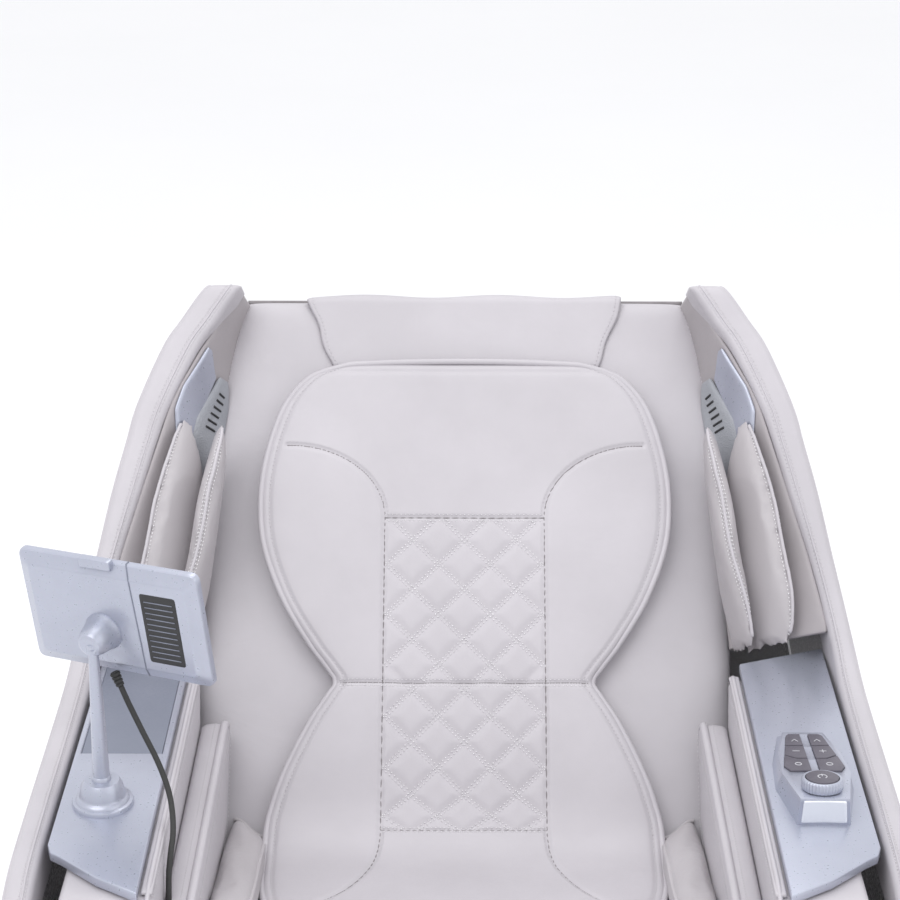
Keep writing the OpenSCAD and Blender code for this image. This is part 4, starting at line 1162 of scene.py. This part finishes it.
def leg_outline(front, rear):
    """Section across the legrest, with a channel for each leg."""
    bend = np.linspace(math.pi, 0, 15)
    points, radii = [[-225, rear], [-225, front], [-181, front]], [22, 20, 16]
    for cx in (-106, 106):
        if cx > 0:
            points += [[31, front]]
            radii += [16]
        points += [[cx + 75 * math.cos(b), -25 + 75 * math.sin(b)] for b in bend]
        radii += [0.5] * 15
        if cx < 0:
            points += [[-31, front]]
            radii += [16]
    points += [[181, front], [225, front], [225, rear]]
    return rounded(points, radii + [16, 20, 22], 4)


def channelled(front, rear, lo, hi):
    """An extruded section with rounded rims and flat ends, which leave the channels open."""
    o = leg_outline(front, rear)
    n = outward(o)
    rings, r = [], 7
    steps = [(r * (1 - math.sin(x)), r * (1 - math.cos(x))) for x in np.linspace(0, math.pi / 2, 5)]
    for inset, level in steps:
        rings.append(down_leg(o - n * inset, lo + level))
    for inset, level in steps[::-1]:
        rings.append(down_leg(o - n * inset, hi - level))
    return o, loft(rings)


calf_line, calf_part = channelled(-77, 59, -201.5, -24.5)
soft("calf_section_cover", calf_part, "calf_section", body="legrest")
foot_line, foot_part = channelled(-109, 59, -350, -204.5)
sole = []
for x0, x1, y0, y1 in ((-224, -168, -109, 59), (-44, 44, -109, 59), (168, 224, -109, 59),
                       (-170, -42, -109, -52), (42, 170, -109, -52), (-170, -42, -12, 59),
                       (42, 170, -12, 59)):
    sole.append(bolster(rounded([[x0, y0], [x1, y0], [x1, y1], [x0, y1]], 5, 6), -383, -348, 3, down_leg,
                        steps=4))
sole.append(bolster(rounded([[-220, -105], [220, -105], [220, 55], [-220, 55]], 10, 8), -383.5, -379.5, 1.5,
                    down_leg, steps=3))
soft("foot_section_cover", join_parts([foot_part, *sole]), "foot_section", body="foot")
ROD = [[0.2, 0], [6, 0], [6, 128], [5, 130], [0.2, 130]]
rods = [lathe(ROD, 24, lambda v, x=x: leg(v[:, 0] + x, v[:, 1] + 34, v[:, 2] - 205)) for x in (-206, 206)]
trim("foot_guide_rods", rods, BRIGHT, "foot", sharp=40)
for name, line, z0, z1, body in (("calf", calf_line, -196, -30, "legrest"),
                                 ("foot", foot_line, -345, -210, "foot")):
    n = outward(line)
    trim(name + "_section_piping", [tube(down_leg(line + n * 0.4, z), 2.0 * MM, 6, closed=True)
                                    for z in (z0, z1)], body=body)
    trim(name + "_section_stitching", [stitches(down_leg(line + n * 0.3, z0 + 7), closed=True),
                                       stitches(down_leg(line + n * 0.3, z1 - 7), closed=True)], THREAD,
         body=body)


# ------------------------------------------------------------------ base and mechanism

MECHANISM = (
    ("base_skirt", SHELL, 4), ("levelling_feet", RUBBER, 1.2), ("base_frame", STEEL, 1.5),
    ("rear_wheels", RUBBER, 2), ("mains_inlet", BLACK, 0.6), ("mains_switch", RED, 0.5),
    ("pivot_pins", BRIGHT, 0.8), ("control_box", BLACK, 1.0), ("foot_rollers", ROLLER, 2),
    ("recline_rod", BRIGHT, 0.8), ("legrest_rod", BRIGHT, 0.8), ("recline_actuator", STEEL, 2),
    ("legrest_actuator", STEEL, 2), ("legrest_frame", STEEL, 0.8), ("air_pump", BLACK, 3),
    ("roller_carriage", STEEL, 0.8), ("roller_arm_left", STEEL, 0.6), ("roller_arm_right", STEEL, 0.6),
    ("massage_roller_left", ROLLER, 1.5), ("massage_roller_right", ROLLER, 1.5), ("seat_pan", BOARD, 0.8),
    ("pod_frame", STEEL, 0.6), ("roller_tracks", STEEL, 0.5))
for node, material, width in MECHANISM:
    soften(node + "_body", node, material, width)


# ------------------------------------------------------------------ floor and light

floor_mat = finish_of("floor", None, (0.93, 0.93, 0.93), (0.95, 0.95, 0.95), 0.8,
                      [["noise", 40, 0.02, 0.001]], patch=0.6)
floor_rings = [arr([-9000, 9000, 9000, -9000], [-9000, -9000, 9000, 9000], z) for z in (-20, -1)]
floor = make("floor", *loft(floor_rings), floor_mat, None, sharp=30)

world = bpy.data.worlds.new("studio")
scene.world = world
world.use_nodes = True
world.node_tree.nodes["Background"].inputs["Color"].default_value = (0.97, 0.975, 1.0, 1)
world.node_tree.nodes["Background"].inputs["Strength"].default_value = 1.02
for name, size, power, place, aim in (("key", 2.6, 30, (-1.2, -1.6, 3.2), (0, 0, 0.5)),
                                      ("fill", 3.0, 10, (2.4, -1.6, 2.4), (0, 0, 0.5)),
                                      ("top", 2.4, 22, (0, 0.8, 3.4), (0, 0.1, 0.6))):
    light = bpy.data.lights.new(name, "AREA")
    light.shape = "DISK"
    light.size = size
    light.energy = power
    obj = bpy.data.objects.new(name, light)
    obj.location = place
    to = np.array(aim) - np.array(place)
    obj.rotation_euler = (math.atan2(math.hypot(to[0], to[1]), -to[2]), 0, math.atan2(to[1], to[0])
                          - math.pi / 2)
    scene.collection.objects.link(obj)
scene.view_settings.view_transform = "Standard"
